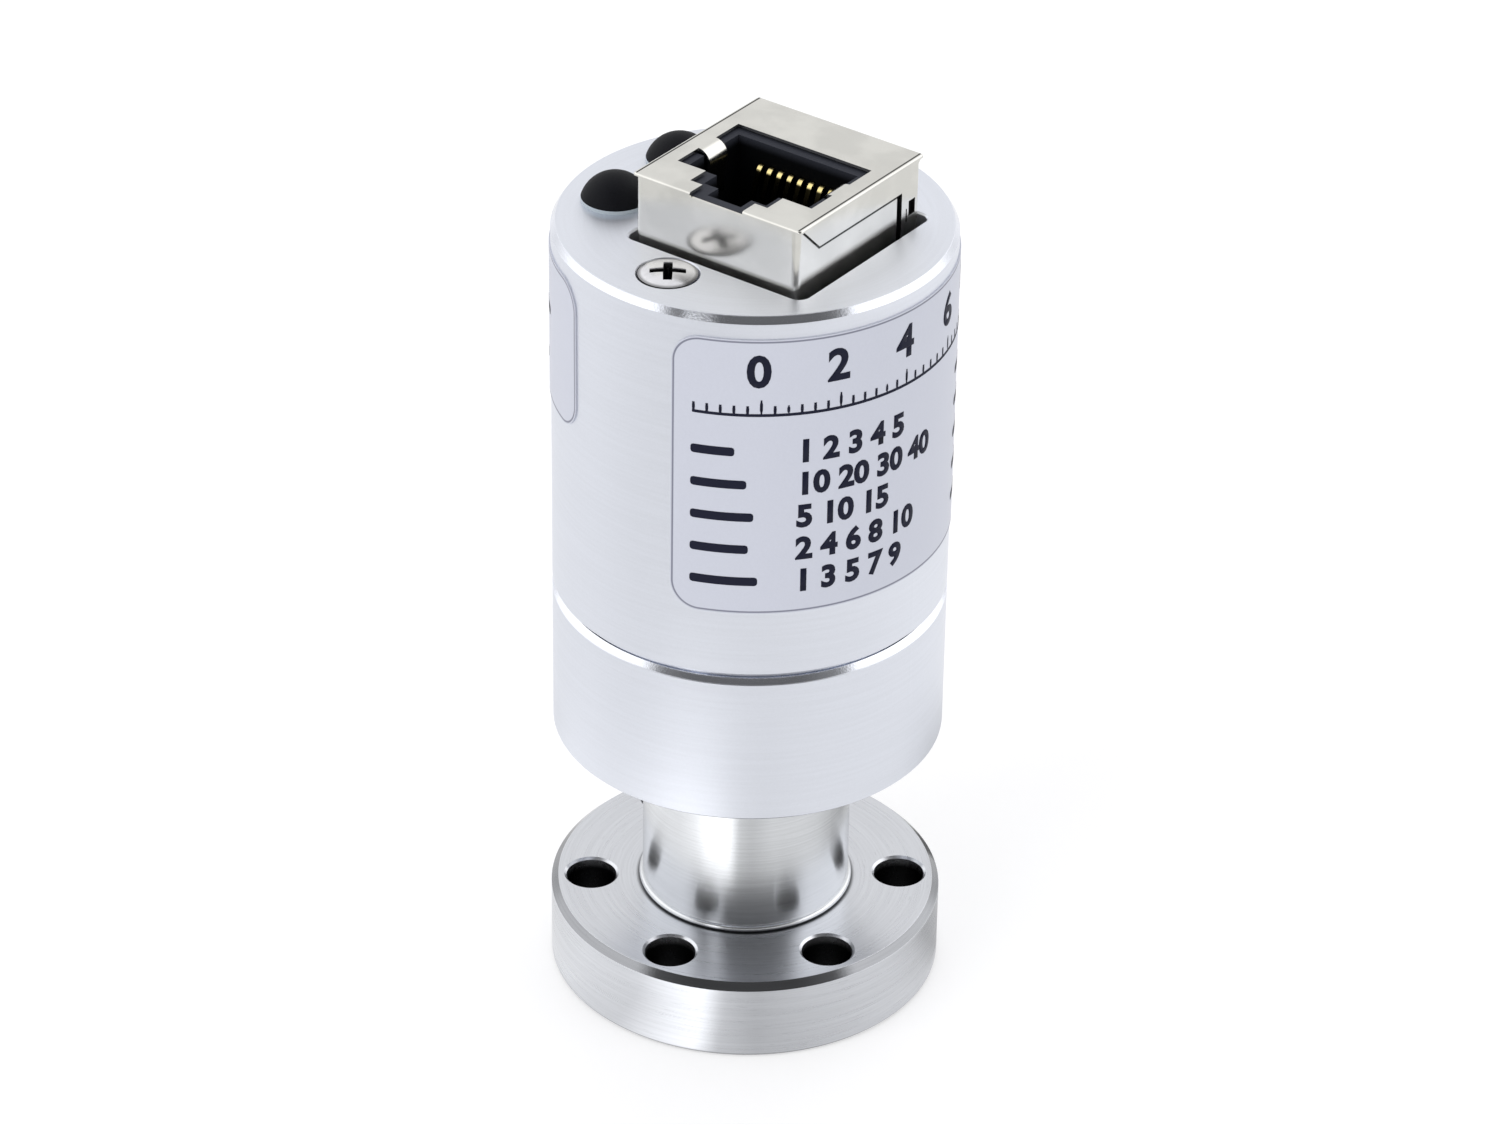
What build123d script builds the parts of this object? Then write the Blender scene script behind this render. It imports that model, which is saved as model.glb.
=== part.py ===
from build123d import *
import os
from math import cos, degrees, hypot, radians, sin, sqrt, tan

# Vacuum transmitter. A round aluminium housing stands on a stainless neck
# with a knife-edge flange, and a shielded modular jack comes out of its top.
# The origin is the centre of the flange's sealing face. +Z runs up the axis,
# and X and Y run along the sides of the jack. All sizes are in millimetres.

# Flange. Its rings follow each other outwards from the bore of the neck: the
# knife edge, the gasket recess, the bolt holes and the rim.
flange_thickness = 7.5
flange_rim_chamfer = 0.6
flange_face_chamfer = 0.3
bolt_hole = 4.4
bolt_count = 6
bolt_phase = 38.0
bolt_hole_chamfer = 0.2
bolt_inner_land = 0.6
bolt_outer_land = 1.3
gasket_seat = 1.525
knife_rim = 1.175
knife_setback = 0.65
knife_slope = 20.0
knife_inner_wall = 0.05
bore_land_depth = 1.6

# Neck
tube_diameter = 18.0
tube_wall = 1.0
neck_length = 17.0
tube_socket_depth = 3.9
tube_fit = 0.03
weld_bead = 0.3

# Housing. Its diameter leaves a ring of metal round the far corner of the jack.
housing_corner_ring = 3.05
housing_wall = 1.5
lower_height = 14.0
upper_height = 34.0
floor_thickness = 3.0
top_thickness = 3.0
groove_chamfer = 0.5
seam_slot = 0.15
seam_slot_depth = 0.4
rim_chamfer_across = 0.4
rim_chamfer_down = 0.6
foot_chamfer = 0.15
spigot_height = 2.5
spigot_wall = 0.8
spigot_fit = 0.1
neck_fit = 0.1

# Jack and the opening that it stands in
jack_x = 2.14
jack_y = 0.2
jack_width = 16.8
jack_depth = 17.1
jack_height = 15.5
jack_proud = 5.7
sheet = 0.25
strip_gap = 0.05
strip_drop = 2.35
wall_bend = 0.55
top_bend = 0.2
plate_corner = 0.3
opening_gap_left = 0.3
opening_gap_right = 0.65
opening_gap_front = 0.62
opening_gap_back = 0.3
opening_corner = 0.9
opening_chamfer = 0.15

# Mouth of the shield, from the jack's own centre
mouth_width = 13.4
mouth_back = 3.5
mouth_front = 4.75
mouth_notch_width = 7.7
mouth_notch_front = 6.7
latch_notch_width = 5.25
latch_notch_drop = 0.4

# Spring tabs that bend down into the mouth
spring_tab_width = 2.35
spring_tab_y = -0.75
spring_tab_bend = 1.2
spring_tab_drop = 2.8
spring_tab_lean = 8.0

# Seam, window and slit in the shield's side walls
seam_y = 5.57
seam_width = 0.7
window_y = 7.35
window_width = 0.9
window_height = 1.35
window_drop = 3.75
slit_y = 6.6
slit_width = 0.15
slit_height = 1.2
ground_leg_width = 1.3
ground_leg_length = 2.4
ground_leg_y = (-5.0, 3.0)

# Plastic insert of the jack
insert_fit = 0.06
insert_recess = 0.15
plug_width = 11.96
plug_back = 2.62
plug_front = 4.25
plug_depth = 12.0
latch_wide = 6.2
latch_wide_front = 5.85
latch_narrow = 3.3
latch_front = 7.3
latch_lip = 1.6
tab_slot_spare = 0.4
peg_diameter = 3.0
peg_length = 1.5
peg_spread = 11.43
peg_y = -3.2

# Contacts of the jack
contact_count = 8
contact_pitch = 1.02
contact_width = 0.42
contact_thickness = 0.3
contact_y = 3.25
contact_bend = 0.55
contact_top_drop = 2.35
contact_slant = 24.0
contact_reach = 8.2
contact_tail_step = 2.54
contact_tail_length = 1.5
tail_spare = 0.4
contact_groove = 0.62
contact_jog_height = 1.6
under_recess_height = 3.0

# Adjusters and the plugs over them
plug_from_side = 5.7
plug_spread = 8.8
plug_hole = 5.0
plug_dome = 5.7
plug_dome_height = 2.05
plug_stem_fit = 0.05
plug_stem_length = 3.6
plug_core = 2.6
washer_thickness = 0.35
trimmer_side = 4.4
trimmer_height = 2.6
trimmer_lead = 0.6
trimmer_lead_length = 2.2
rotor_diameter = 3.0
rotor_fit = 0.08
rotor_seat = 1.4
rotor_stand = 0.3
rotor_slot_width = 0.6
rotor_slot_depth = 0.7

# Pillars and screws, in line across the axis
pillar_flats = 4.5
pillar_gap = 0.3
thread_diameter = 2.5
thread_fit = 0.05
screw_clearance = 0.2
stud_grip = 2.0
pillar_thread_depth = 4.0
spacer_stud_grip = 3.0
screw_head = 4.9
screw_head_crown = 0.35
screw_length = 7.5
screw_sink_fit = 0.2
cross_length = 3.0
cross_width = 0.78
cross_depth = 1.1
cross_taper = 12.0
cross_turn = 36.0

# Sensor at the upper end of the neck
base_fit = 0.15
base_thickness = 3.0
tube_seat_depth = 1.0
pin_spread = 8.0
pin_count = 4
pin_diameter = 0.8
glass_diameter = 2.6
glass_fit = 0.02
long_post_length = 15.0
short_post_length = 5.0
post_arm = 0.6
filament_diameter = 0.15
thermistor_post_length = 3.6
thermistor_diameter = 1.4
thermistor_length = 4.4
thermistor_lead = 0.4
pin_top_length = 0.7
pin_spacer_diameter = 2.2

# Circuit boards
board_thickness = 1.6
sensor_board_thickness = 1.2
sensor_board_gap = 0.35
sensor_board_lift = 3.2
jack_board_fit = 0.35
main_board_x = -5.2
main_board_side_gap = 0.93
main_board_gap = 1.2
hole_spare = 0.1

# Headers between the boards
header_pitch = 2.0
header_pin = 0.5
header_block = 2.5
header_gap = 0.05
header_turn = 1.1
header_poke = 0.5
top_header_count = 7
bottom_header_count = 5

# Parts on the main board
chip_side = 7.0
chip_height = 1.2
chip_edge = 0.2
chip_leg_pitch = 0.8
chip_legs_per_side = 8
chip_leg_width = 0.35
chip_leg_reach = 0.9
chip_leg_thickness = 0.2
amplifier_length = 5.0
amplifier_width = 4.0
amplifier_height = 1.5
amplifier_spread = 16.0
coil_side = 6.0
coil_height = 3.4
coil_corner = 1.2
coil_groove_diameter = 4.6
coil_groove_width = 0.5
coil_groove_depth = 0.85
capacitor_diameter = 4.0
capacitor_height = 5.2
capacitor_edge = 0.35
capacitor_spread = 12.0

# Labels on the housing
label_thickness = 0.12
label_corner = 2.5
front_label_height = 25.6
front_label_length = 50.0
front_label_start = -76.7
side_label_height = 13.6
side_label_length = 28.0
side_label_start = -112.6
label_top_gap = 1.95

# Heights along the axis
neck_top = flange_thickness + neck_length
floor_top = neck_top + floor_thickness
seam_z = neck_top + lower_height
top_z = seam_z + upper_height
ceiling_z = top_z - top_thickness
base_top = floor_top + base_thickness
tube_top = floor_top + tube_seat_depth
sensor_board_z = base_top + sensor_board_lift
sensor_board_top = sensor_board_z + sensor_board_thickness
jack_face = top_z + jack_proud
jack_board_top = jack_face - jack_height
jack_board_z = jack_board_top - board_thickness
main_board_z = sensor_board_top + main_board_gap
main_board_top = jack_board_z - main_board_gap

# Radii and widths that follow from the sizes above
tube_r = tube_diameter / 2
bore_r = tube_r - tube_wall
knife_r = bore_r + knife_rim
recess_r = knife_r + gasket_seat
bolt_circle_r = recess_r + bolt_inner_land + bolt_hole / 2
flange_r = bolt_circle_r + bolt_hole / 2 + bolt_outer_land
jack_corner_r = hypot(jack_x + jack_width / 2, jack_y + jack_depth / 2)
housing_r = jack_corner_r + housing_corner_ring
groove_root_r = housing_r - groove_chamfer
cavity_r = housing_r - housing_wall
spigot_r = cavity_r - spigot_fit
lower_bore_r = spigot_r - spigot_wall
base_r = lower_bore_r - base_fit
jack_board_r = cavity_r - jack_board_fit
hole_clear_r = thread_diameter / 2 + screw_clearance
stud_r = thread_diameter / 2 - thread_fit
wall_width = jack_width - 2 * (sheet + strip_gap)
insert_width = wall_width - 2 * (sheet + insert_fit)
insert_depth = jack_depth - 2 * (sheet + insert_fit)
insert_top = jack_face - sheet - insert_recess
screw_y = lower_bore_r - pillar_gap - pillar_flats / 2
screw_places = {"front": -screw_y, "rear": screw_y}
plug_x = plug_from_side - housing_r
sensor_board_r = screw_y - pillar_flats / 2 - sensor_board_gap
board_back = main_board_x - board_thickness / 2
board_front = main_board_x + board_thickness / 2
main_board_half = sqrt((lower_bore_r - main_board_side_gap) ** 2 - board_back**2)
plug_places = {"front": -plug_spread / 2, "rear": plug_spread / 2}

os.makedirs("parts", exist_ok=True)


def level(z):
    return Plane.XY.offset(z)


def jack_level(z):
    return Plane(origin=(jack_x, jack_y, z))


# Flange with its knife edge in the gasket recess
knife_root = knife_setback + (recess_r - knife_r) * tan(radians(knife_slope))
tube_foot = flange_thickness - tube_socket_depth

with BuildPart() as knife_edge_flange:
    with BuildSketch(Plane.XZ):
        with BuildLine():
            Polyline(
                (bore_r, bore_land_depth),
                (knife_r - knife_inner_wall, bore_land_depth),
                (knife_r, knife_setback),
                (recess_r, knife_root),
                (recess_r, 0),
                (flange_r - flange_face_chamfer, 0),
                (flange_r, flange_face_chamfer),
                (flange_r, flange_thickness - flange_rim_chamfer),
                (flange_r - flange_rim_chamfer, flange_thickness),
                (tube_r + tube_fit, flange_thickness),
                (tube_r + tube_fit, tube_foot),
                (bore_r, tube_foot),
                close=True,
            )
        make_face()
    revolve(axis=Axis.Z)
    with BuildSketch(Plane.XY):
        with PolarLocations(bolt_circle_r, bolt_count, start_angle=bolt_phase):
            Circle(bolt_hole / 2)
    extrude(amount=flange_thickness, mode=Mode.SUBTRACT)
    hole_rims = knife_edge_flange.faces().sort_by(Axis.Z)[-1].inner_wires().edges()
    chamfer(hole_rims.filter_by(lambda rim: rim.radius < tube_r), bolt_hole_chamfer)
knife_edge_flange.part.label = "knife_edge_flange"
export_step(knife_edge_flange.part, "parts/knife_edge_flange.step")

# Neck tube, welded into the flange and into the sensor base
with BuildPart() as neck_tube:
    with BuildSketch(level(tube_foot)):
        Circle(tube_r)
        Circle(bore_r, mode=Mode.SUBTRACT)
    extrude(amount=tube_top - tube_foot)
    with BuildSketch(Plane.XZ):
        with Locations((tube_r, flange_thickness + weld_bead)):
            Circle(weld_bead)
        with Locations((tube_r - weld_bead, flange_thickness + weld_bead)):
            Rectangle(2 * weld_bead, 2 * weld_bead, mode=Mode.SUBTRACT)
    revolve(axis=Axis.Z)
neck_tube.part.label = "neck_tube"
export_step(neck_tube.part, "parts/neck_tube.step")

# Lower housing: the floor that the neck passes, and the spigot for the sleeve
with BuildPart() as lower_housing:
    with BuildSketch(Plane.XZ):
        with BuildLine():
            Polyline(
                (tube_r + neck_fit, neck_top),
                (housing_r - foot_chamfer, neck_top),
                (housing_r, neck_top + foot_chamfer),
                (housing_r, seam_z - seam_slot - groove_chamfer),
                (groove_root_r, seam_z - seam_slot),
                (groove_root_r - seam_slot_depth, seam_z - seam_slot),
                (groove_root_r - seam_slot_depth, seam_z),
                (spigot_r, seam_z),
                (spigot_r, seam_z + spigot_height),
                (lower_bore_r, seam_z + spigot_height),
                (lower_bore_r, floor_top),
                (tube_r + neck_fit, floor_top),
                close=True,
            )
        make_face()
    revolve(axis=Axis.Z)
    with BuildSketch(level(floor_top)):
        with Locations(*[(0, y) for y in screw_places.values()]):
            Circle(thread_diameter / 2)
    extrude(amount=-(stud_grip + thread_fit), mode=Mode.SUBTRACT)
lower_housing.part.label = "lower_housing"
export_step(lower_housing.part, "parts/lower_housing.step")

# Upper housing: sleeve and top in one, open for the jack, plugs and screws
opening_left = -jack_width / 2 - opening_gap_left
opening_right = jack_width / 2 + opening_gap_right
opening_front = -jack_depth / 2 - opening_gap_front
opening_back = jack_depth / 2 + opening_gap_back
opening_width = opening_right - opening_left
opening_depth = opening_back - opening_front
opening_middle = ((opening_left + opening_right) / 2, (opening_front + opening_back) / 2)

with BuildPart() as upper_housing:
    with BuildSketch(Plane.XZ):
        with BuildLine():
            Polyline(
                (cavity_r, seam_z),
                (groove_root_r, seam_z),
                (housing_r, seam_z + groove_chamfer),
                (housing_r, top_z - rim_chamfer_down),
                (housing_r - rim_chamfer_across, top_z),
                (0, top_z),
                (0, ceiling_z),
                (cavity_r, ceiling_z),
                close=True,
            )
        make_face()
    revolve(axis=Axis.Z)
    with BuildSketch(jack_level(top_z)):
        with Locations(opening_middle):
            RectangleRounded(opening_width, opening_depth, opening_corner)
    extrude(amount=-top_thickness, mode=Mode.SUBTRACT)
    opening_rim = upper_housing.faces().sort_by(Axis.Z)[-1].inner_wires().edges()
    chamfer(opening_rim, opening_chamfer)
    with BuildSketch(level(top_z)):
        with Locations(*[(plug_x, y) for y in plug_places.values()]):
            Circle(plug_hole / 2)
    extrude(amount=-top_thickness, mode=Mode.SUBTRACT)
    with Locations(*[(0, y, top_z) for y in screw_places.values()]):
        CounterSinkHole(hole_clear_r, screw_head / 2 + screw_sink_fit, top_thickness)
upper_housing.part.label = "upper_housing"
export_step(upper_housing.part, "parts/upper_housing.step")

# Sensor base, which closes the neck and carries the glass-sealed pins
pin_angles = [45 + 360 / pin_count * i for i in range(pin_count)]

with BuildPart() as sensor_base:
    with BuildSketch(level(floor_top)):
        Circle(base_r)
        with PolarLocations(pin_spread / 2, pin_count, start_angle=pin_angles[0]):
            Circle(glass_diameter / 2, mode=Mode.SUBTRACT)
        with Locations(*[(0, y) for y in screw_places.values()]):
            Circle(hole_clear_r, mode=Mode.SUBTRACT)
    extrude(amount=base_thickness)
    with BuildSketch(level(floor_top)):
        Circle(tube_r + tube_fit)
    extrude(amount=tube_seat_depth, mode=Mode.SUBTRACT)
sensor_base.part.label = "sensor_base"
export_step(sensor_base.part, "parts/sensor_base.step")

with BuildPart() as glass_seals:
    with BuildSketch(level(tube_top)):
        with PolarLocations(pin_spread / 2, pin_count, start_angle=pin_angles[0]):
            Circle(glass_diameter / 2 - glass_fit)
            Circle(pin_diameter / 2 + glass_fit, mode=Mode.SUBTRACT)
    extrude(amount=base_top - tube_top)
glass_seals.part.label = "glass_seals"
export_step(glass_seals.part, "parts/glass_seals.step")

# Feedthrough pins. Two of them carry the filament on arms that reach the
# axis, and the other two carry the temperature sensor.
pin_top = sensor_board_top + pin_top_length
filament_foot = tube_top - long_post_length
filament_head = tube_top - short_post_length
thermistor_z = tube_top - thermistor_post_length
thermistor_foot = thermistor_z - thermistor_diameter / 2
post_feet = [filament_foot, thermistor_foot, filament_head, thermistor_foot]

with BuildPart() as feedthrough_pins:
    for angle, foot in zip(pin_angles, post_feet):
        turn = radians(angle)
        with BuildSketch(level(foot)):
            with Locations((pin_spread / 2 * cos(turn), pin_spread / 2 * sin(turn))):
                Circle(pin_diameter / 2)
        extrude(amount=pin_top - foot)
    for angle, foot in ((pin_angles[0], filament_foot), (pin_angles[2], filament_head)):
        with BuildSketch(level(foot).rotated((0, 0, angle))):
            with Locations((pin_spread / 4, 0)):
                Rectangle(pin_spread / 2 + post_arm, post_arm)
        extrude(amount=post_arm)
feedthrough_pins.part.label = "feedthrough_pins"
export_step(feedthrough_pins.part, "parts/feedthrough_pins.step")

with BuildPart() as filament:
    with BuildSketch(level(filament_foot + post_arm)):
        Circle(filament_diameter / 2)
    extrude(amount=filament_head - filament_foot - post_arm)
filament.part.label = "filament"
export_step(filament.part, "parts/filament.step")

thermistor_turn = radians(pin_angles[1])
thermistor_way = (cos(thermistor_turn), sin(thermistor_turn), 0)
thermistor_axis = Plane(origin=(0, 0, thermistor_z), z_dir=thermistor_way)
thermistor_span = pin_spread - pin_diameter - 2 * glass_fit
with BuildPart() as temperature_sensor:
    with BuildSketch(thermistor_axis):
        Circle(thermistor_diameter / 2)
    extrude(amount=thermistor_length / 2, both=True)
    fillet(temperature_sensor.edges(), thermistor_diameter / 4)
    with BuildSketch(thermistor_axis):
        Circle(thermistor_lead / 2)
    extrude(amount=thermistor_span / 2, both=True)
temperature_sensor.part.label = "temperature_sensor"
export_step(temperature_sensor.part, "parts/temperature_sensor.step")

# Insulating sleeves that hold the sensor board off the base
with BuildPart() as pin_sleeves:
    with BuildSketch(level(base_top)):
        with PolarLocations(pin_spread / 2, pin_count, start_angle=pin_angles[0]):
            Circle(pin_spacer_diameter / 2)
            Circle(pin_diameter / 2 + glass_fit, mode=Mode.SUBTRACT)
    extrude(amount=sensor_board_lift)
pin_sleeves.part.label = "pin_sleeves"
export_step(pin_sleeves.part, "parts/pin_sleeves.step")

# Headers: one row up to the jack board, one row down to the sensor board
header_x = board_back - header_gap - header_block / 2
header_hole_r = header_pin / sqrt(2) + hole_spare


def header_ys(count):
    return [header_pitch * (i - (count - 1) / 2) for i in range(count)]


top_header_z = jack_board_z - header_block
bottom_header_z = sensor_board_top + header_block
top_turn_z = top_header_z - header_turn
bottom_turn_z = bottom_header_z + header_turn
headers = {
    "top": (top_header_count, top_header_z, top_turn_z, jack_board_top + header_poke),
    "bottom": (bottom_header_count, sensor_board_top, bottom_turn_z, sensor_board_z - header_poke),
}
for name, (count, block_z, turn_z, pin_end) in headers.items():
    with BuildPart() as header_blocks:
        with BuildSketch(level(block_z)):
            with Locations((header_x, 0)):
                Rectangle(header_block, header_pitch * count)
            with Locations(*[(header_x, y) for y in header_ys(count)]):
                Rectangle(header_pin + hole_spare, header_pin + hole_spare, mode=Mode.SUBTRACT)
        extrude(amount=header_block)
    header_blocks.part.label = f"{name}_header_block"
    export_step(header_blocks.part, f"parts/{name}_header_block.step")

    with BuildPart() as header_pins:
        for y in header_ys(count):
            with BuildSketch(Plane.XZ.offset(-y)):
                with BuildLine():
                    pin_path = Polyline(
                        (board_front + header_poke, turn_z),
                        (header_x, turn_z),
                        (header_x, pin_end),
                    )
                trace(pin_path, line_width=header_pin)
            extrude(amount=header_pin / 2, both=True)
    header_pins.part.label = f"{name}_header_pins"
    export_step(header_pins.part, f"parts/{name}_header_pins.step")

# Sensor board, soldered on the feedthrough pins
with BuildPart() as sensor_board:
    with BuildSketch(level(sensor_board_z)):
        Circle(sensor_board_r)
        with PolarLocations(pin_spread / 2, pin_count, start_angle=pin_angles[0]):
            Circle(pin_diameter / 2 + hole_spare, mode=Mode.SUBTRACT)
        with Locations(*[(header_x, y) for y in header_ys(bottom_header_count)]):
            Circle(header_hole_r, mode=Mode.SUBTRACT)
    extrude(amount=sensor_board_thickness)
sensor_board.part.label = "sensor_board"
export_step(sensor_board.part, "parts/sensor_board.step")

# Main board, upright between the two headers
board_middle = (main_board_z + main_board_top) / 2
board_plane = Plane(origin=(board_back, 0, 0), x_dir=(0, 1, 0), z_dir=(1, 0, 0))
with BuildPart() as main_board:
    with BuildSketch(board_plane):
        with Locations((0, board_middle)):
            Rectangle(2 * main_board_half, main_board_top - main_board_z)
        for count, _, turn_z, _ in headers.values():
            with Locations(*[(y, turn_z) for y in header_ys(count)]):
                Circle(header_hole_r, mode=Mode.SUBTRACT)
    extrude(amount=board_thickness)
main_board.part.label = "main_board"
export_step(main_board.part, "parts/main_board.step")

# Parts soldered to the main board
front_plane = Plane(origin=(board_front, 0, board_middle), x_dir=(0, 1, 0), z_dir=(1, 0, 0))
back_plane = Plane(origin=(board_back, 0, board_middle), x_dir=(0, -1, 0), z_dir=(-1, 0, 0))

with BuildPart() as controller_chip:
    with BuildSketch(front_plane.offset(chip_leg_thickness)):
        Rectangle(chip_side, chip_side)
    extrude(amount=chip_height)
    chamfer(controller_chip.faces().sort_by(Axis.X)[-1].edges(), chip_edge)
    with BuildSketch(front_plane):
        with GridLocations(chip_leg_pitch, chip_side + chip_leg_reach, chip_legs_per_side, 2):
            Rectangle(chip_leg_width, chip_leg_reach)
        with GridLocations(chip_side + chip_leg_reach, chip_leg_pitch, 2, chip_legs_per_side):
            Rectangle(chip_leg_reach, chip_leg_width)
        Rectangle(chip_side, chip_side)
    extrude(amount=chip_leg_thickness)
controller_chip.part.label = "controller_chip"
export_step(controller_chip.part, "parts/controller_chip.step")

with BuildPart() as amplifier_chips:
    with BuildSketch(front_plane):
        with GridLocations(amplifier_spread, 1, 2, 1):
            Rectangle(amplifier_width, amplifier_length)
    extrude(amount=amplifier_height)
    chamfer(amplifier_chips.faces().sort_by(Axis.X)[-2:].edges(), chip_edge)
amplifier_chips.part.label = "amplifier_chips"
export_step(amplifier_chips.part, "parts/amplifier_chips.step")

with BuildPart() as power_coil:
    with BuildSketch(back_plane):
        RectangleRounded(coil_side, coil_side, coil_corner)
    extrude(amount=coil_height)
    with BuildSketch(back_plane.offset(coil_height)):
        Circle(coil_groove_diameter / 2)
        Circle(coil_groove_diameter / 2 - coil_groove_width, mode=Mode.SUBTRACT)
    extrude(amount=-coil_groove_depth, mode=Mode.SUBTRACT)
power_coil.part.label = "power_coil"
export_step(power_coil.part, "parts/power_coil.step")

with BuildPart() as capacitors:
    with BuildSketch(back_plane):
        with GridLocations(capacitor_spread, 1, 2, 1):
            Circle(capacitor_diameter / 2)
    extrude(amount=capacitor_height)
    fillet(capacitors.faces().sort_by(Axis.X)[:2].edges(), capacitor_edge)
capacitors.part.label = "capacitors"
export_step(capacitors.part, "parts/capacitors.step")

# Jack board, clamped between the pillars and the spacers
contact_xs = [contact_pitch * (i - (contact_count - 1) / 2) for i in range(contact_count)]
tail_ys = [contact_y + contact_tail_step * (i % 2) for i in range(contact_count)]
peg_xs = (-peg_spread / 2, peg_spread / 2)
leg_x = wall_width / 2 - sheet / 2
leg_places = [(x, y) for x in (-leg_x, leg_x) for y in ground_leg_y]
lead_step = trimmer_side / 3
lead_offsets = [(0, lead_step), (-lead_step, -lead_step), (lead_step, -lead_step)]
lead_places = [(plug_x + dx, y + dy) for y in plug_places.values() for dx, dy in lead_offsets]

with BuildPart() as jack_board:
    with BuildSketch(level(jack_board_z)):
        Circle(jack_board_r)
        with Locations(*[(0, y) for y in screw_places.values()]):
            Circle(hole_clear_r, mode=Mode.SUBTRACT)
        with Locations(*[(header_x, y) for y in header_ys(top_header_count)]):
            Circle(header_hole_r, mode=Mode.SUBTRACT)
        with Locations(*lead_places):
            Circle(trimmer_lead / 2 + hole_spare, mode=Mode.SUBTRACT)
        with Locations(*[(jack_x + x, jack_y + y) for x, y in zip(contact_xs, tail_ys)]):
            Rectangle(contact_width + hole_spare, contact_thickness + hole_spare, mode=Mode.SUBTRACT)
        with Locations(*[(jack_x + x, jack_y + y) for x, y in leg_places]):
            Rectangle(sheet + 2 * hole_spare, ground_leg_width + 2 * hole_spare, mode=Mode.SUBTRACT)
        with Locations(*[(jack_x + x, jack_y + peg_y) for x in peg_xs]):
            Circle(peg_diameter / 2 + hole_spare, mode=Mode.SUBTRACT)
    extrude(amount=board_thickness)
jack_board.part.label = "jack_board"
export_step(jack_board.part, "parts/jack_board.step")

# Shield of the jack, one folded sheet. The top folds down into the front and
# back walls and into two side strips with mitred ends. The front wall runs
# round into the side walls, and the back wall meets them at an open seam.
strip_half = jack_depth / 2 - plate_corner


def side_plane(x):
    return Plane(origin=(jack_x + x, jack_y, jack_face), x_dir=(0, 1, 0), z_dir=(1, 0, 0))


with BuildPart() as jack_shield:
    with BuildSketch(jack_level(jack_board_top)):
        RectangleRounded(wall_width, jack_depth, wall_bend)
        offset(amount=-sheet, mode=Mode.SUBTRACT)
    extrude(amount=jack_height - sheet)
    with BuildSketch(jack_level(jack_face)):
        RectangleRounded(jack_width, jack_depth, plate_corner)
    extrude(amount=-sheet)
    for side in (-1, 1):
        with BuildSketch(side_plane(side * jack_width / 2)):
            with BuildLine():
                Polyline(
                    (-strip_half, 0),
                    (strip_half, 0),
                    (strip_half - strip_drop, -strip_drop),
                    (-strip_half + strip_drop, -strip_drop),
                    close=True,
                )
            make_face()
        extrude(amount=-side * sheet)
    fillet(jack_shield.faces().sort_by(Axis.Z)[-1].edges(), top_bend)

    # Seam, window and slit in both side walls
    with BuildSketch(side_plane(0)):
        with Locations((seam_y, -(jack_height + sheet) / 2)):
            Rectangle(seam_width, jack_height - sheet)
        with Locations((window_y, -window_drop - window_height / 2)):
            Rectangle(window_width, window_height)
        with Locations((slit_y, -window_drop - slit_height)):
            Rectangle(slit_width, slit_height)
    extrude(amount=wall_width / 2, both=True, mode=Mode.SUBTRACT)

    # Stepped mouth, which runs over the front fold at the latch
    with BuildSketch(jack_level(jack_face)):
        with Locations((0, (mouth_back - mouth_front) / 2)):
            Rectangle(mouth_width, mouth_back + mouth_front)
        with Locations((0, -(mouth_front + mouth_notch_front) / 2)):
            Rectangle(mouth_notch_width, mouth_notch_front - mouth_front + sheet)
    extrude(amount=-sheet, mode=Mode.SUBTRACT)
    with BuildSketch(jack_level(jack_face)):
        with Locations((0, -(mouth_notch_front + jack_depth / 2) / 2)):
            Rectangle(latch_notch_width, jack_depth / 2 - mouth_notch_front + sheet)
    extrude(amount=-latch_notch_drop, mode=Mode.SUBTRACT)

    # Spring tabs that curl down from the sides of the mouth
    tab_origin = (jack_x, jack_y + spring_tab_y, jack_face)
    curl_centre = (mouth_width / 2, -spring_tab_bend)
    for side in (-1, 1):
        with BuildSketch(Plane(origin=tab_origin, x_dir=(side, 0, 0), z_dir=(0, -side, 0))):
            with BuildLine():
                tab_curl = CenterArc(curl_centre, spring_tab_bend - sheet / 2, 90, 90 + spring_tab_lean)
                tab_end = tab_curl @ 1 + (tab_curl % 1) * spring_tab_drop
                Line(tab_curl @ 1, tab_end)
            trace(line_width=sheet)
        extrude(amount=spring_tab_width / 2, both=True)

    # Ground legs that pass the jack board
    with BuildSketch(jack_level(jack_board_top)):
        with Locations(*leg_places):
            Rectangle(sheet, ground_leg_width)
    extrude(amount=-ground_leg_length)
jack_shield.part.label = "jack_shield"
export_step(jack_shield.part, "parts/jack_shield.step")

# Insert of the jack: plug cavity, stepped latch channel, comb for the contacts
groove_back = contact_y + contact_thickness / 2 + hole_spare
recess_back = contact_y + contact_tail_step + contact_thickness / 2 + tail_spare
recess_half = contact_xs[-1] + contact_width
tab_slot_bottom = spring_tab_bend + spring_tab_drop + tab_slot_spare

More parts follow.
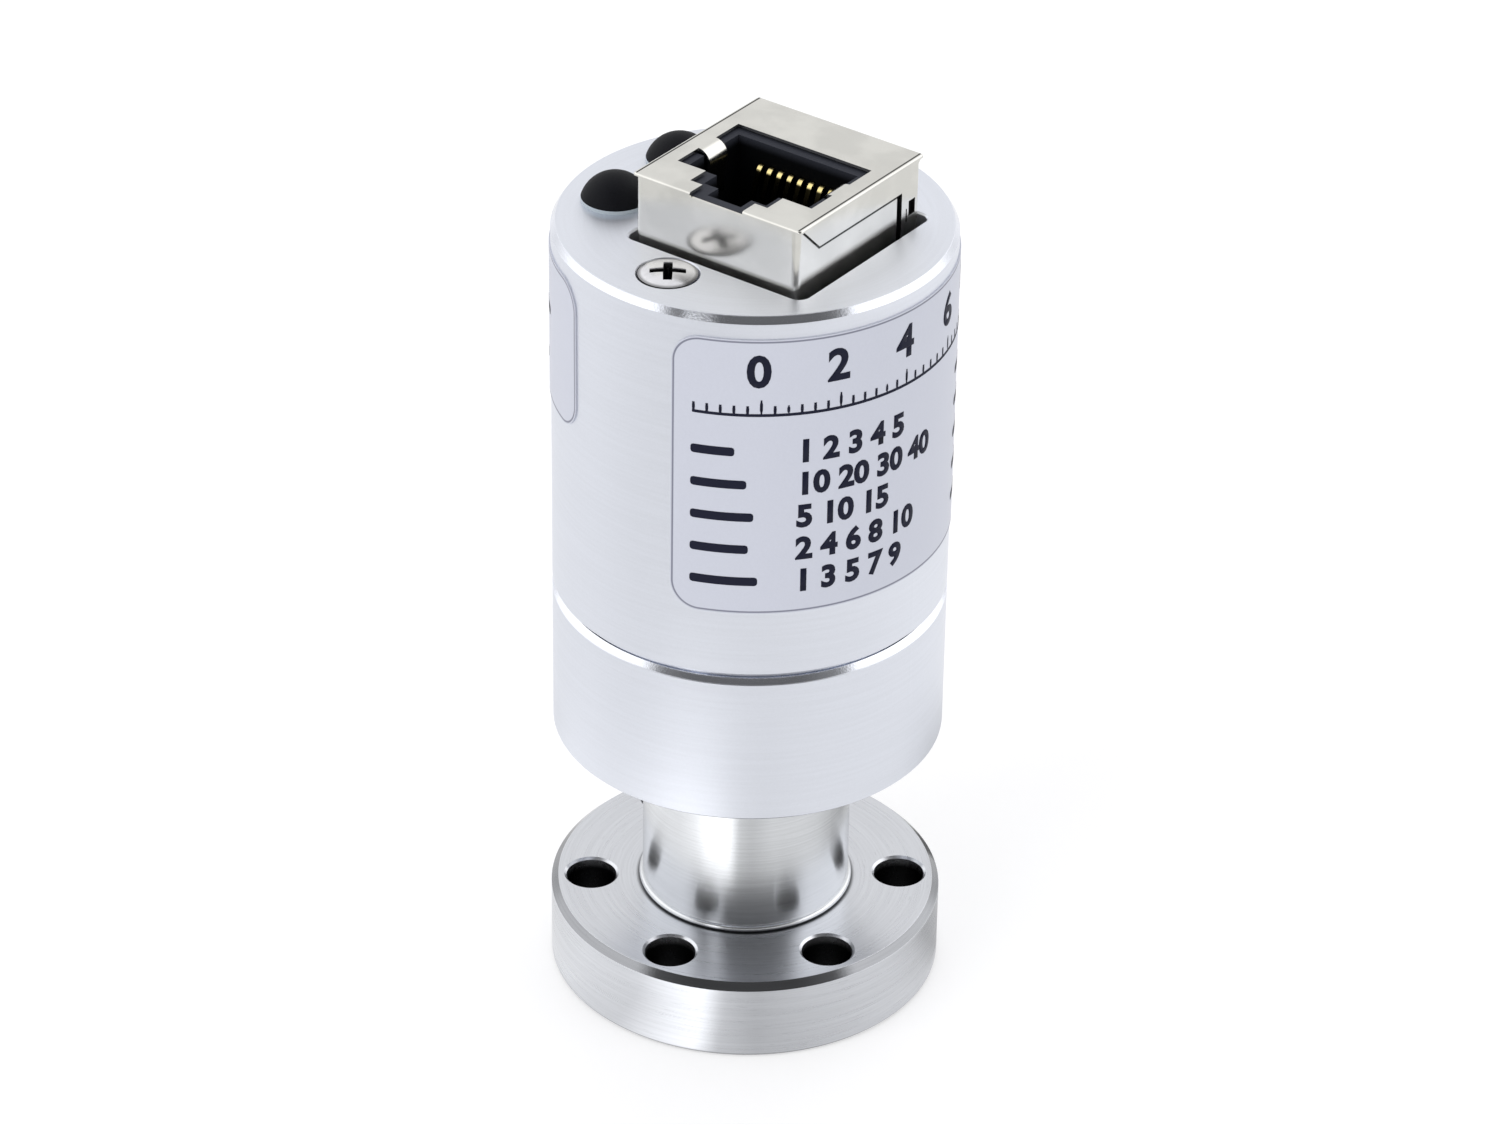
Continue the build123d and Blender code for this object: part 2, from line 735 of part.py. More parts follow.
with BuildPart() as jack_insert:
    with BuildSketch(jack_level(jack_board_top)):
        RectangleRounded(insert_width, insert_depth, wall_bend - sheet)
    extrude(amount=insert_top - jack_board_top)
    with BuildSketch(jack_level(insert_top)):
        with Locations((0, (plug_back - plug_front) / 2)):
            Rectangle(plug_width, plug_back + plug_front)
        with Locations((0, -(plug_front + latch_wide_front) / 2)):
            Rectangle(latch_wide, latch_wide_front - plug_front + sheet)
        with Locations((0, -(latch_wide_front + latch_front) / 2)):
            Rectangle(latch_narrow, latch_front - latch_wide_front + sheet)
    extrude(amount=-plug_depth, mode=Mode.SUBTRACT)
    with BuildSketch(jack_level(insert_top - latch_lip)):
        with Locations((0, -(plug_front + latch_front) / 2)):
            Rectangle(latch_wide, latch_front - plug_front)
    extrude(amount=-(plug_depth - latch_lip), mode=Mode.SUBTRACT)
    with BuildSketch(jack_level(insert_top)):
        with Locations((0, spring_tab_y)):
            Rectangle(mouth_width + tab_slot_spare, spring_tab_width + tab_slot_spare)
    extrude(amount=-tab_slot_bottom, mode=Mode.SUBTRACT)
    with BuildSketch(jack_level(jack_board_top)):
        with Locations(*[(x, (plug_back + groove_back) / 2) for x in contact_xs]):
            Rectangle(contact_groove, groove_back - plug_back)
    extrude(amount=jack_height - contact_top_drop + hole_spare, mode=Mode.SUBTRACT)
    with BuildSketch(jack_level(jack_board_top)):
        with Locations((0, (plug_back + recess_back) / 2)):
            Rectangle(2 * recess_half, recess_back - plug_back)
    extrude(amount=under_recess_height, mode=Mode.SUBTRACT)
    with BuildSketch(jack_level(jack_board_top)):
        with Locations(*[(x, peg_y) for x in peg_xs]):
            Circle(peg_diameter / 2)
    extrude(amount=-peg_length)
jack_insert.part.label = "jack_insert"
export_step(jack_insert.part, "parts/jack_insert.step")

# Contacts: straight up the comb, over a round bend and down into the cavity.
# Every other tail steps back to the second row of holes in the board.
bend_z = jack_face - contact_top_drop - contact_bend - contact_thickness / 2
tail_z = jack_board_z - contact_tail_length
jog_z = jack_board_top + contact_jog_height

with BuildPart() as jack_contacts:
    for x, tail_y in zip(contact_xs, tail_ys):
        with BuildSketch(Plane(origin=(jack_x + x, jack_y, 0), x_dir=(0, 1, 0), z_dir=(1, 0, 0))):
            with BuildLine():
                if tail_y == contact_y:
                    Line((contact_y, tail_z), (contact_y, bend_z))
                else:
                    Polyline((tail_y, tail_z), (tail_y, jog_z), (contact_y, jog_z), (contact_y, bend_z))
                bend = CenterArc((contact_y - contact_bend, bend_z), contact_bend, 0, 180 - contact_slant)
                Line(bend @ 1, bend @ 1 + (bend % 1) * contact_reach)
            trace(line_width=contact_thickness)
        extrude(amount=contact_width / 2, both=True)
jack_contacts.part.label = "jack_contacts"
export_step(jack_contacts.part, "parts/jack_contacts.step")

# Pillars from the sensor base to the jack board, and spacers above them
for name, y in screw_places.items():
    with BuildPart() as pillar:
        with BuildSketch(Plane(origin=(0, y, base_top))):
            RegularPolygon(pillar_flats / 2, 6, major_radius=False)
        extrude(amount=jack_board_z - base_top)
        with BuildSketch(Plane(origin=(0, y, base_top))):
            Circle(stud_r)
        extrude(amount=-(base_thickness + stud_grip))
        with BuildSketch(Plane(origin=(0, y, jack_board_z))):
            Circle(thread_diameter / 2)
        extrude(amount=-pillar_thread_depth, mode=Mode.SUBTRACT)
    pillar.part.label = f"pillar_{name}"
    export_step(pillar.part, f"parts/pillar_{name}.step")

    with BuildPart() as spacer:
        with BuildSketch(Plane(origin=(0, y, jack_board_top))):
            RegularPolygon(pillar_flats / 2, 6, major_radius=False)
        extrude(amount=ceiling_z - jack_board_top)
        with BuildSketch(Plane(origin=(0, y, jack_board_top))):
            Circle(stud_r)
        extrude(amount=-(board_thickness + spacer_stud_grip))
        with BuildSketch(Plane(origin=(0, y, ceiling_z))):
            Circle(thread_diameter / 2)
        extrude(amount=-(screw_length - top_thickness + hole_spare), mode=Mode.SUBTRACT)
    spacer.part.label = f"spacer_{name}"
    export_step(spacer.part, f"parts/spacer_{name}.step")

# Cover screws with a countersunk, slightly raised head and a cross recess
head_depth = screw_head / 2 - stud_r
crown_radius = (screw_head**2 / 4 + screw_head_crown**2) / (2 * screw_head_crown)
for name, y in screw_places.items():
    with BuildPart() as cover_screw:
        with BuildSketch(Plane(origin=(0, y, 0), x_dir=(1, 0, 0), z_dir=(0, -1, 0))):
            with BuildLine():
                Polyline(
                    (0, top_z + screw_head_crown),
                    (0, top_z - screw_length),
                    (stud_r, top_z - screw_length),
                    (stud_r, top_z - head_depth),
                    (screw_head / 2, top_z),
                )
                RadiusArc((screw_head / 2, top_z), (0, top_z + screw_head_crown), -crown_radius)
            make_face()
        revolve(axis=Axis((0, y, 0), (0, 0, 1)))
        with BuildSketch(Plane(origin=(0, y, top_z + screw_head_crown))):
            Rectangle(cross_length, cross_width, rotation=cross_turn)
            Rectangle(cross_width, cross_length, rotation=cross_turn)
        extrude(amount=-(cross_depth + screw_head_crown), taper=cross_taper, mode=Mode.SUBTRACT)
    cover_screw.part.label = f"cover_screw_{name}"
    export_step(cover_screw.part, f"parts/cover_screw_{name}.step")

# Adjusting trimmers on the jack board, each with a slotted rotor
trimmer_top = jack_board_top + trimmer_height
pocket_r = rotor_diameter / 2 + rotor_fit
for name, y in plug_places.items():
    with BuildPart() as trimmer_body:
        with BuildSketch(Plane(origin=(plug_x, y, jack_board_top))):
            Rectangle(trimmer_side, trimmer_side)
        extrude(amount=trimmer_height)
        with BuildSketch(Plane(origin=(plug_x, y, trimmer_top))):
            Circle(pocket_r)
        extrude(amount=-rotor_seat, mode=Mode.SUBTRACT)
        with BuildSketch(Plane(origin=(plug_x, y, jack_board_top))):
            with Locations(*lead_offsets):
                Circle(trimmer_lead / 2)
        extrude(amount=-trimmer_lead_length)
    trimmer_body.part.label = f"trimmer_body_{name}"
    export_step(trimmer_body.part, f"parts/trimmer_body_{name}.step")

    with BuildPart() as trimmer_rotor:
        with BuildSketch(Plane(origin=(plug_x, y, trimmer_top - rotor_seat))):
            Circle(rotor_diameter / 2)
        extrude(amount=rotor_seat + rotor_stand)
        with BuildSketch(Plane(origin=(plug_x, y, trimmer_top + rotor_stand))):
            Rectangle(rotor_diameter, rotor_slot_width)
        extrude(amount=-rotor_slot_depth, mode=Mode.SUBTRACT)
    trimmer_rotor.part.label = f"trimmer_rotor_{name}"
    export_step(trimmer_rotor.part, f"parts/trimmer_rotor_{name}.step")

# Plugs that close the adjusting holes, each on a thin washer
dome_r = plug_dome / 2
stem_r = plug_hole / 2 - plug_stem_fit
dome_base = top_z + washer_thickness
dome_radius = (dome_r**2 + plug_dome_height**2) / (2 * plug_dome_height)
for name, y in plug_places.items():
    with BuildPart() as plug_washer:
        with BuildSketch(Plane(origin=(plug_x, y, top_z))):
            Circle(dome_r)
            Circle(plug_hole / 2, mode=Mode.SUBTRACT)
        extrude(amount=washer_thickness)
    plug_washer.part.label = f"plug_washer_{name}"
    export_step(plug_washer.part, f"parts/plug_washer_{name}.step")

    with BuildPart() as adjuster_plug:
        with BuildSketch(Plane(origin=(plug_x, y, 0), x_dir=(1, 0, 0), z_dir=(0, -1, 0))):
            with BuildLine():
                Polyline(
                    (0, dome_base + plug_dome_height),
                    (0, dome_base),
                    (dome_r, dome_base),
                )
                RadiusArc((dome_r, dome_base), (0, dome_base + plug_dome_height), -dome_radius)
            make_face()
        revolve(axis=Axis((plug_x, y, 0), (0, 0, 1)))
        with BuildSketch(Plane(origin=(plug_x, y, dome_base))):
            Circle(stem_r)
            Circle(plug_core / 2, mode=Mode.SUBTRACT)
        extrude(amount=-plug_stem_length - washer_thickness)
    adjuster_plug.part.label = f"adjuster_plug_{name}"
    export_step(adjuster_plug.part, f"parts/adjuster_plug_{name}.step")

# Adhesive labels, wrapped on the sleeve
labels = {
    "front_label": (front_label_height, front_label_length, front_label_start, 1),
    "side_label": (side_label_height, side_label_length, side_label_start, -1),
}
label_r = housing_r + label_thickness / 2
corner_centre = label_corner / 2
for name, (height, length, start, way) in labels.items():
    middle_z = top_z - label_top_gap - height / 2
    sweep_angle = degrees(length / label_r)
    first = start if way > 0 else start - sweep_angle
    with BuildPart() as label:
        with BuildSketch(Plane.XZ.rotated((0, 0, first))):
            with Locations((label_r, middle_z)):
                Rectangle(label_thickness, height)
        revolve(axis=Axis.Z, revolution_arc=sweep_angle)
        for end, inward in ((first, 1), (first + sweep_angle, -1)):
            outward = Vector(cos(radians(end)), sin(radians(end)), 0)
            along = Vector(-sin(radians(end)), cos(radians(end)), 0) * inward
            middle = outward * label_r + Vector(0, 0, middle_z)
            with BuildSketch(Plane(origin=middle, x_dir=along, z_dir=outward)):
                for edge in (-height / 2, height / 2):
                    to_middle = -corner_centre if edge > 0 else corner_centre
                    with Locations((corner_centre, edge + to_middle)):
                        Rectangle(label_corner, label_corner)
                    with Locations((label_corner, edge + 2 * to_middle)):
                        Circle(label_corner, mode=Mode.SUBTRACT)
            extrude(amount=label_corner, both=True, mode=Mode.SUBTRACT)
    label.part.label = name
    export_step(label.part, f"parts/{name}.step")
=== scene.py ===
"""The looks of a vacuum transmitter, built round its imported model.

All sizes are in metres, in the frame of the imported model: the origin is the
centre of the flange's sealing face, and +Z runs up the axis to the jack.
"""

import logging
import math
from collections.abc import Iterable
from dataclasses import dataclass, field
from enum import Enum

import bpy
from mathutils import Matrix, Vector


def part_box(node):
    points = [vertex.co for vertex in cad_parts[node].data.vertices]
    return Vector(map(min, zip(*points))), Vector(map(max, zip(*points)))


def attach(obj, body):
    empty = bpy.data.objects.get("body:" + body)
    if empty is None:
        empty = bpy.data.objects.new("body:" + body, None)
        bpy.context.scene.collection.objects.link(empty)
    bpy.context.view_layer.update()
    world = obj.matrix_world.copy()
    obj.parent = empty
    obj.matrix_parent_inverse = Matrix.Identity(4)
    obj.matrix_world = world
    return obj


Colour = tuple[float, float, float, float]
MM = 0.001
MICRON = 0.001 * MM

log = logging.getLogger("vacuum_transmitter")

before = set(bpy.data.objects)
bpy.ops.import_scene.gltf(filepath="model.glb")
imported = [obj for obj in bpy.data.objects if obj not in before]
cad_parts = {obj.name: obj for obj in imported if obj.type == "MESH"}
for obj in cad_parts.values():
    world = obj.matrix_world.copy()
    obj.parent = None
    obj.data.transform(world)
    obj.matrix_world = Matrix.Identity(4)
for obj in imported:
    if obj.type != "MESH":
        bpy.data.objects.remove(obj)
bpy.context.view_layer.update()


def srgb(red: int, green: int, blue: int) -> Colour:
    """Turns a display colour into the linear colour that a shader takes.

    Args:
        red: Red from 0 to 255.
        green: Green from 0 to 255.
        blue: Blue from 0 to 255.

    Returns:
        The linear colour with full alpha.
    """
    toe, slope, offset, gamma = 0.04045, 12.92, 0.055, 2.4
    shares = (channel / 255 for channel in (red, green, blue))
    linear = (s / slope if s <= toe else ((s + offset) / (1 + offset)) ** gamma for s in shares)
    return (*linear, 1.0)


def shade_of(colour: Colour, factor: float) -> Colour:
    """Makes a colour lighter or darker by a factor on its linear channels."""
    red, green, blue, alpha = colour
    return (red * factor, green * factor, blue * factor, alpha)


class Number:
    """A number socket of a node tree, with Python's operators as Math nodes."""

    def __init__(self, shading: "Wiring", socket: bpy.types.NodeSocket) -> None:
        """Wraps one output socket of a node in the given tree."""
        self.shading = shading
        self.socket = socket

    def math(self, operation: str, *others: "Number | float", clamp: bool = False) -> "Number":
        """Adds a Math node that starts with this number.

        Args:
            operation: The Math node's operation, such as MULTIPLY.
            others: The numbers that follow this one in the node's sockets.
            clamp: Whether the result is kept from 0 to 1.

        Returns:
            The result of the node.
        """
        return self.shading.math(operation, self, *others, clamp=clamp)

    def __add__(self, other: "Number | float") -> "Number":
        """Adds another number."""
        return self.math("ADD", other)

    def __radd__(self, other: float) -> "Number":
        """Adds this number to a plain one."""
        return self.math("ADD", other)

    def __sub__(self, other: "Number | float") -> "Number":
        """Takes another number away."""
        return self.math("SUBTRACT", other)

    def __rsub__(self, other: float) -> "Number":
        """Takes this number away from a plain one."""
        return self.shading.math("SUBTRACT", other, self)

    def __mul__(self, other: "Number | float") -> "Number":
        """Multiplies by another number."""
        return self.math("MULTIPLY", other)

    def __rmul__(self, other: float) -> "Number":
        """Multiplies a plain number by this one."""
        return self.math("MULTIPLY", other)

    def __truediv__(self, other: "Number | float") -> "Number":
        """Divides by another number."""
        return self.math("DIVIDE", other)

    def __abs__(self) -> "Number":
        """Drops the sign."""
        return self.math("ABSOLUTE")

    def over(self, low: float, high: float) -> "Number":
        """Rises smoothly from 0 at low to 1 at high."""
        settings = {"interpolation_type": "SMOOTHSTEP"}
        node = self.shading.node(
            "ShaderNodeMapRange", settings, {"Value": self, "From Min": low, "From Max": high}
        )
        return Number(self.shading, node.outputs["Result"])


Link = Number | bpy.types.NodeSocket | float | Colour | tuple[float, float, float]


class Wiring:
    """A node tree that is filled through short calls."""

    def __init__(self, owner: bpy.types.Material | bpy.types.World) -> None:
        """Takes over the emptied node tree of a material or of the world."""
        owner.use_nodes = True
        self.tree = owner.node_tree
        self.tree.nodes.clear()

    def node(
        self, kind: str, settings: dict | None = None, inputs: dict[str | int, Link] | None = None
    ) -> bpy.types.Node:
        """Adds a node.

        Args:
            kind: The node's type.
            settings: The node's properties, which are set first. A ramp's stops
                come as a list of positions with colours under "stops".
            inputs: The values or links of its sockets, by name or number.

        Returns:
            The node.
        """
        node = self.tree.nodes.new(kind)
        for key, value in (settings or {}).items():
            if key == "stops":
                self._set_stops(node.color_ramp, value)
            else:
                setattr(node, key, value)
        for key, value in (inputs or {}).items():
            self.feed(node.inputs[key], value)
        return node

    def feed(self, socket: bpy.types.NodeSocket, value: Link) -> None:
        """Links a socket, or sets its value."""
        if isinstance(value, Number):
            value = value.socket
        if isinstance(value, bpy.types.NodeSocket):
            self.tree.links.new(value, socket)
        else:
            socket.default_value = value

    @staticmethod
    def _set_stops(ramp: bpy.types.ColorRamp, stops: list[tuple[float, Colour]]) -> None:
        """Gives a colour ramp its stops."""
        while len(ramp.elements) < len(stops):
            ramp.elements.new(1.0)
        for element, (position, colour) in zip(ramp.elements, stops):
            element.position = position
            element.color = colour

    def math(self, operation: str, *values: Number | float, clamp: bool = False) -> Number:
        """Adds a Math node over the given numbers and returns its result."""
        settings = {"operation": operation, "use_clamp": clamp}
        node = self.node("ShaderNodeMath", settings, dict(enumerate(values)))
        return Number(self, node.outputs[0])

    def split(self, place: bpy.types.NodeSocket) -> tuple[Number, Number, Number]:
        """Splits a place or a direction into its three coordinates."""
        node = self.node("ShaderNodeSeparateXYZ", {}, {0: place})
        return tuple(Number(self, output) for output in node.outputs)


class Shading(Wiring):
    """The node tree of one material, with its shader and its place on the piece."""

    def __init__(self, name: str) -> None:
        """Makes a material with a tree that ends in a Principled shader."""
        self.material = bpy.data.materials.new(name)
        super().__init__(self.material)
        self.shader = self.node("ShaderNodeBsdfPrincipled")
        self.node("ShaderNodeOutputMaterial", {}, {"Surface": self.shader.outputs["BSDF"]})
        self.place = self.node("ShaderNodeTexCoord").outputs["Object"]

    def axes(self, place: bpy.types.NodeSocket | None = None) -> tuple[Number, Number, Number]:
        """Splits a place on the piece into its three coordinates."""
        return self.split(place or self.place)

    def moved(
        self,
        location: tuple[float, float, float] = (0.0, 0.0, 0.0),
        turn: float = 0.0,
        scale: tuple[float, float, float] = (1.0, 1.0, 1.0),
        kind: str = "TEXTURE",
    ) -> bpy.types.NodeSocket:
        """Centres, turns or stretches the place on the piece.

        Args:
            location: The point that becomes the origin.
            turn: The turn about Z, in radians.
            scale: The stretch along each axis.
            kind: The Mapping node's type.

        Returns:
            The new coordinates.
        """
        inputs = {"Vector": self.place, "Location": location, "Rotation": (0, 0, turn), "Scale": scale}
        return self.node("ShaderNodeMapping", {"vector_type": kind}, inputs).outputs[0]

    def noise(
        self, place: bpy.types.NodeSocket, scale: float, detail: float = 2.0, fourth: Number | None = None
    ) -> Number:
        """Adds a noise.

        Args:
            place: The coordinates that it reads.
            scale: The number of spots to the metre.
            detail: How many finer layers it has.
            fourth: A fourth coordinate, where the noise needs one.

        Returns:
            The noise, round 0.5.
        """
        settings = {"noise_dimensions": "4D" if fourth else "3D"}
        inputs = {"Vector": place, "Scale": scale, "Detail": detail}
        if fourth:
            inputs["W"] = fourth
        return Number(self, self.node("ShaderNodeTexNoise", settings, inputs).outputs[0])

    def blend(self, share: Number | float, first: Link, second: Link) -> bpy.types.NodeSocket:
        """Mixes two colours by a share from 0 for the first to 1 for the second."""
        inputs = {"Factor": share, 6: first, 7: second}
        return self.node("ShaderNodeMix", {"data_type": "RGBA"}, inputs).outputs[2]

    def bump(
        self, height: Number, depth: float, under: bpy.types.NodeSocket | None = None
    ) -> bpy.types.NodeSocket:
        """Raises the surface by a height from 0 to 1 times a depth in metres."""
        inputs = {"Height": height, "Distance": depth}
        if under:
            inputs["Normal"] = under
        return self.node("ShaderNodeBump", {}, inputs).outputs[0]

    def set(self, **sockets: Link) -> None:
        """Sets sockets of the shader by their names, with _ for each space."""
        for key, value in sockets.items():
            self.feed(self.shader.inputs[key.replace("_", " ")], value)


@dataclass(frozen=True)
class Finish:
    """A plain finish: one colour with a fine grain that also shades it a little.

    Attributes:
        name: The material's name.
        colour: The colour of the surface.
        roughness: How rough it is, from 0 to 1.
        metallic: 1 for bare metal and 0 for all else.
        grain: The number of grains to the metre.
        grain_depth: The height of the grain.
        mottle: How much the grain changes the colour.
        specular: The strength of the gloss of what isn't metal.
        deep_from: The height below which painted shade darkens the colour.
        deep_to: The height below which it is darkest.
        deep_share: The share of the colour that is left there.
    """

    name: str
    colour: Colour
    roughness: float
    metallic: float = 0.0
    grain: float = 4000.0
    grain_depth: float = 2 * MICRON
    mottle: float = 0.06
    specular: float = 0.5
    deep_from: float | None = None
    deep_to: float = 0.0
    deep_share: float = 0.1

    def build(self) -> bpy.types.Material:
        """Makes the material.

        Returns:
            The finished material.
        """
        shading = Shading(self.name)
        shading.set(Metallic=self.metallic, Specular_IOR_Level=self.specular)
        self.paint(shading)
        return shading.material

    def painted_depth_shade(self, shading: Shading, colour: bpy.types.NodeSocket) -> bpy.types.NodeSocket:
        """Paints shade on a colour, darker with depth, where the finish asks for it."""
        if self.deep_from is None:
            return colour
        _, _, up = shading.axes()
        painted_shade_colour = shade_of(self.colour, self.deep_share)
        # Painted shade: the colour darkens towards the bottom of a hollow, where shade falls.
        return shading.blend(up.over(self.deep_to, self.deep_from), painted_shade_colour, colour)

    def paint(self, shading: Shading) -> None:
        """Fills the shader's sockets with the pattern of this finish."""
        grain = shading.noise(shading.place, self.grain)
        light, dark = shade_of(self.colour, 1 + self.mottle), shade_of(self.colour, 1 - self.mottle)
        shading.set(
            Base_Color=self.painted_depth_shade(shading, shading.blend(grain, dark, light)),
            Roughness=grain * 0.1 + (self.roughness - 0.05),
            Normal=shading.bump(grain, self.grain_depth),
        )


@dataclass(frozen=True)
class TurnedMetal(Finish):
    """Metal turned on a lathe, with fine rings round the axis.

    Attributes:
        rings: The number of rings to the metre.
        ring_depth: The height of the rings.
        ring_shade: How much the rings change the colour.
        ring_rough: How much the rings change the roughness.
        stretch: How strongly the rings spread a reflection across them.
        scratches: How much faint scratches along the rings show.
    """

    metallic: float = 1.0
    rings: float = 7000.0
    ring_depth: float = 1.5 * MICRON
    ring_shade: float = 0.05
    ring_rough: float = 0.08
    stretch: float = 0.6
    scratches: float = 0.0

    def polished(self, shading: Shading, radius: Number, rough: Number) -> Number:
        """Gives the roughness, which some turned parts lower along their cut edges."""
        return rough

    def shaded(self, shading: Shading, radius: Number, colour: bpy.types.NodeSocket) -> bpy.types.NodeSocket:
        """Gives the colour, on which some turned parts paint shade in their holes."""
        return colour

    def paint(self, shading: Shading) -> None:
        """Lays the rings, the grain and the scratches over each other."""
        across, along, _ = shading.axes()
        radius = (across * across + along * along).math("SQRT")
        slow = 120.0
        stretched = shading.moved(scale=(slow, slow, self.rings), kind="POINT")
        rings = shading.noise(stretched, 1.0, 3.0, fourth=radius * self.rings)
        grain = shading.noise(shading.place, self.grain)
        arcs = 900.0
        scratch_place = shading.moved(scale=(arcs, arcs, 2.2 * self.rings), kind="POINT")
        scratch = shading.noise(scratch_place, 1.0, 2.0, fourth=radius * 2.2 * self.rings).over(0.62, 0.74)
        light, dark = shade_of(self.colour, 1 + self.ring_shade), shade_of(self.colour, 1 - self.ring_shade)
        ringed = shading.blend(rings.over(0.3, 0.7), dark, light)
        mottled = shading.blend(grain * self.mottle, ringed, shade_of(self.colour, 0.5))
        worn = shading.blend(scratch * self.scratches, mottled, shade_of(self.colour, 0.55))
        relief = shading.bump(rings, self.ring_depth)
        rough = rings * self.ring_rough + (self.roughness - self.ring_rough / 2)
        shading.set(
            Base_Color=self.shaded(shading, radius, worn),
            Roughness=self.polished(shading, radius, rough),
            Normal=shading.bump(grain, self.grain_depth, relief),
            Anisotropic=self.stretch,
            Anisotropic_Rotation=0.25,
        )


@dataclass(frozen=True)
class SatinHousing(TurnedMetal):
    """Satin turned aluminium, with bright cut edges at the rim, the seam and the foot.

    Attributes:
        outer: The radius of the housing.
        top_z: The height of its top.
        seam_z: The height of its seam.
        foot_z: The height of its foot.
        edge_rough: The roughness of a cut edge.
    """

    outer: float = 16.75 * MM
    top_z: float = 72.5 * MM
    seam_z: float = 38.5 * MM
    foot_z: float = 24.5 * MM
    edge_rough: float = 0.14

    def polished(self, shading: Shading, radius: Number, rough: Number) -> Number:
        """Lowers the roughness on the chamfers, of those at the seam only on the lower one."""
        _, _, up = shading.axes()
        soft = 0.02 * MM
        rim_r, rim_low = self.outer - 0.38 * MM, self.top_z - 0.6 * MM
        groove_low, foot_high = self.seam_z - 0.6 * MM, self.foot_z + 0.2 * MM
        rim = radius.over(rim_r, rim_r + soft) * up.over(rim_low, rim_low + soft)
        inside = 1 - radius.over(self.outer - 2 * soft, self.outer - soft)
        in_groove = up.over(groove_low, groove_low + soft) * (1 - up.over(self.seam_z, self.seam_z + soft))
        near_foot = 1 - up.over(foot_high, foot_high + soft)
        edge = rim.math("MAXIMUM", inside * in_groove.math("MAXIMUM", near_foot))
        return rough + edge * (self.edge_rough - rough)


@dataclass(frozen=True)
class BoredFlange(TurnedMetal):
    """Turned steel with bright cut edges, with painted shade in its bolt holes and on its rim edges and a
    painted shadow round the weld.

    Attributes:
        circle: The radius of the bolt circle.
        hole: The radius of a bolt hole.
        holes: The number of holes.
        first: The angle of the first hole, in degrees.
        outer: The radius of the flange.
        top_z: The height of its upper face.
        chamfer: The width of the chamfer round that face.
        weld: The radius of the weld round the neck.
        edge_rough: The roughness of a cut edge.
    """

    circle: float = 13.5 * MM
    hole: float = 2.2 * MM
    holes: int = 6
    first: float = 38.0
    outer: float = 17.0 * MM
    top_z: float = 7.5 * MM
    chamfer: float = 0.6 * MM
    weld: float = 9.3 * MM
    edge_rough: float = 0.12

    def shaded(self, shading: Shading, radius: Number, colour: bpy.types.NodeSocket) -> bpy.types.NodeSocket:
        """Paints shade in the depth of the holes and on both edges of the rim, and a contact shadow in the
        ring at the weld.
        """
        across, along, up = shading.axes()
        step = math.tau / self.holes
        angle = along.math("ARCTAN2", across) - math.radians(self.first)
        folded = angle - (angle / step).math("ROUND") * step
        out, beside = radius * folded.math("COSINE") - self.circle, radius * folded.math("SINE")
        off_hole = (out * out + beside * beside).math("SQRT")
        soft = 0.03 * MM
        inside = 1 - off_hole.over(self.hole + soft, self.hole + 2 * soft)
        deep = 1 - up.over(self.top_z - 1.1 * MM, self.top_z - 0.3 * MM)
        weld_shadow = (1 - radius.over(self.weld, self.weld + 0.35 * MM)) * up.over(self.top_z - soft, self.top_z)
        near_rim = radius.over(self.outer - 0.6 * MM, self.outer - 0.5 * MM)
        lower_edge = (1 - up.over(0.25 * MM, 0.4 * MM)) * near_rim
        edges = lower_edge.math("MAXIMUM", self.on_chamfer(radius, up)) * 0.6
        # Painted shade in the holes and on both rim edges, and a painted contact shadow round the weld.
        dark = (inside * deep).math("MAXIMUM", weld_shadow * 0.85).math("MAXIMUM", edges)
        return shading.blend(dark, colour, shade_of(self.colour, 0.06))

    def polished(self, shading: Shading, radius: Number, rough: Number) -> Number:
        """Lowers the roughness on the upper chamfer."""
        _, _, up = shading.axes()
        return rough + self.on_chamfer(radius, up) * (self.edge_rough - rough)

    def on_chamfer(self, radius: Number, up: Number) -> Number:
        """Gives 1 on the upper chamfer and 0 elsewhere."""
        soft = 0.02 * MM
        inner, lower = self.outer - self.chamfer, self.top_z - self.chamfer
        return radius.over(inner, inner + soft) * up.over(lower, lower + soft)


@dataclass(frozen=True)
class PlatedSheet(Finish):
    """Thin plated sheet, with soft waves and faint wiped marks.

    Attributes:
        smudges: The number of smudges to the metre.
        smudge_rough: How much a smudge dulls the plating.
        wave_depth: The height of the waves in the sheet.
    """

    metallic: float = 1.0
    smudges: float = 260.0
    smudge_rough: float = 0.1
    wave_depth: float = 12 * MICRON

    def lined(self, shading: Shading, colour: bpy.types.NodeSocket) -> bpy.types.NodeSocket:
        """Paints shade in the sheet's seams and recesses, here none."""
        return colour

    def paint(self, shading: Shading) -> None:
        """Lays the smudges and the waves on the plating."""
        smudge = shading.noise(shading.place, self.smudges, 4.0)
        grain = shading.noise(shading.place, self.grain)
        light, dark = shade_of(self.colour, 1 + self.mottle), shade_of(self.colour, 1 - self.mottle)
        wavy = shading.bump(shading.noise(shading.place, self.smudges / 2, 1.0), self.wave_depth)
        plated = shading.blend(smudge.over(0.35, 0.65), dark, light)
        shading.set(
            Base_Color=self.painted_depth_shade(shading, self.lined(shading, plated)),
            Roughness=smudge * self.smudge_rough + (self.roughness - self.smudge_rough / 2),
            Normal=shading.bump(grain, self.grain_depth, wavy),
        )


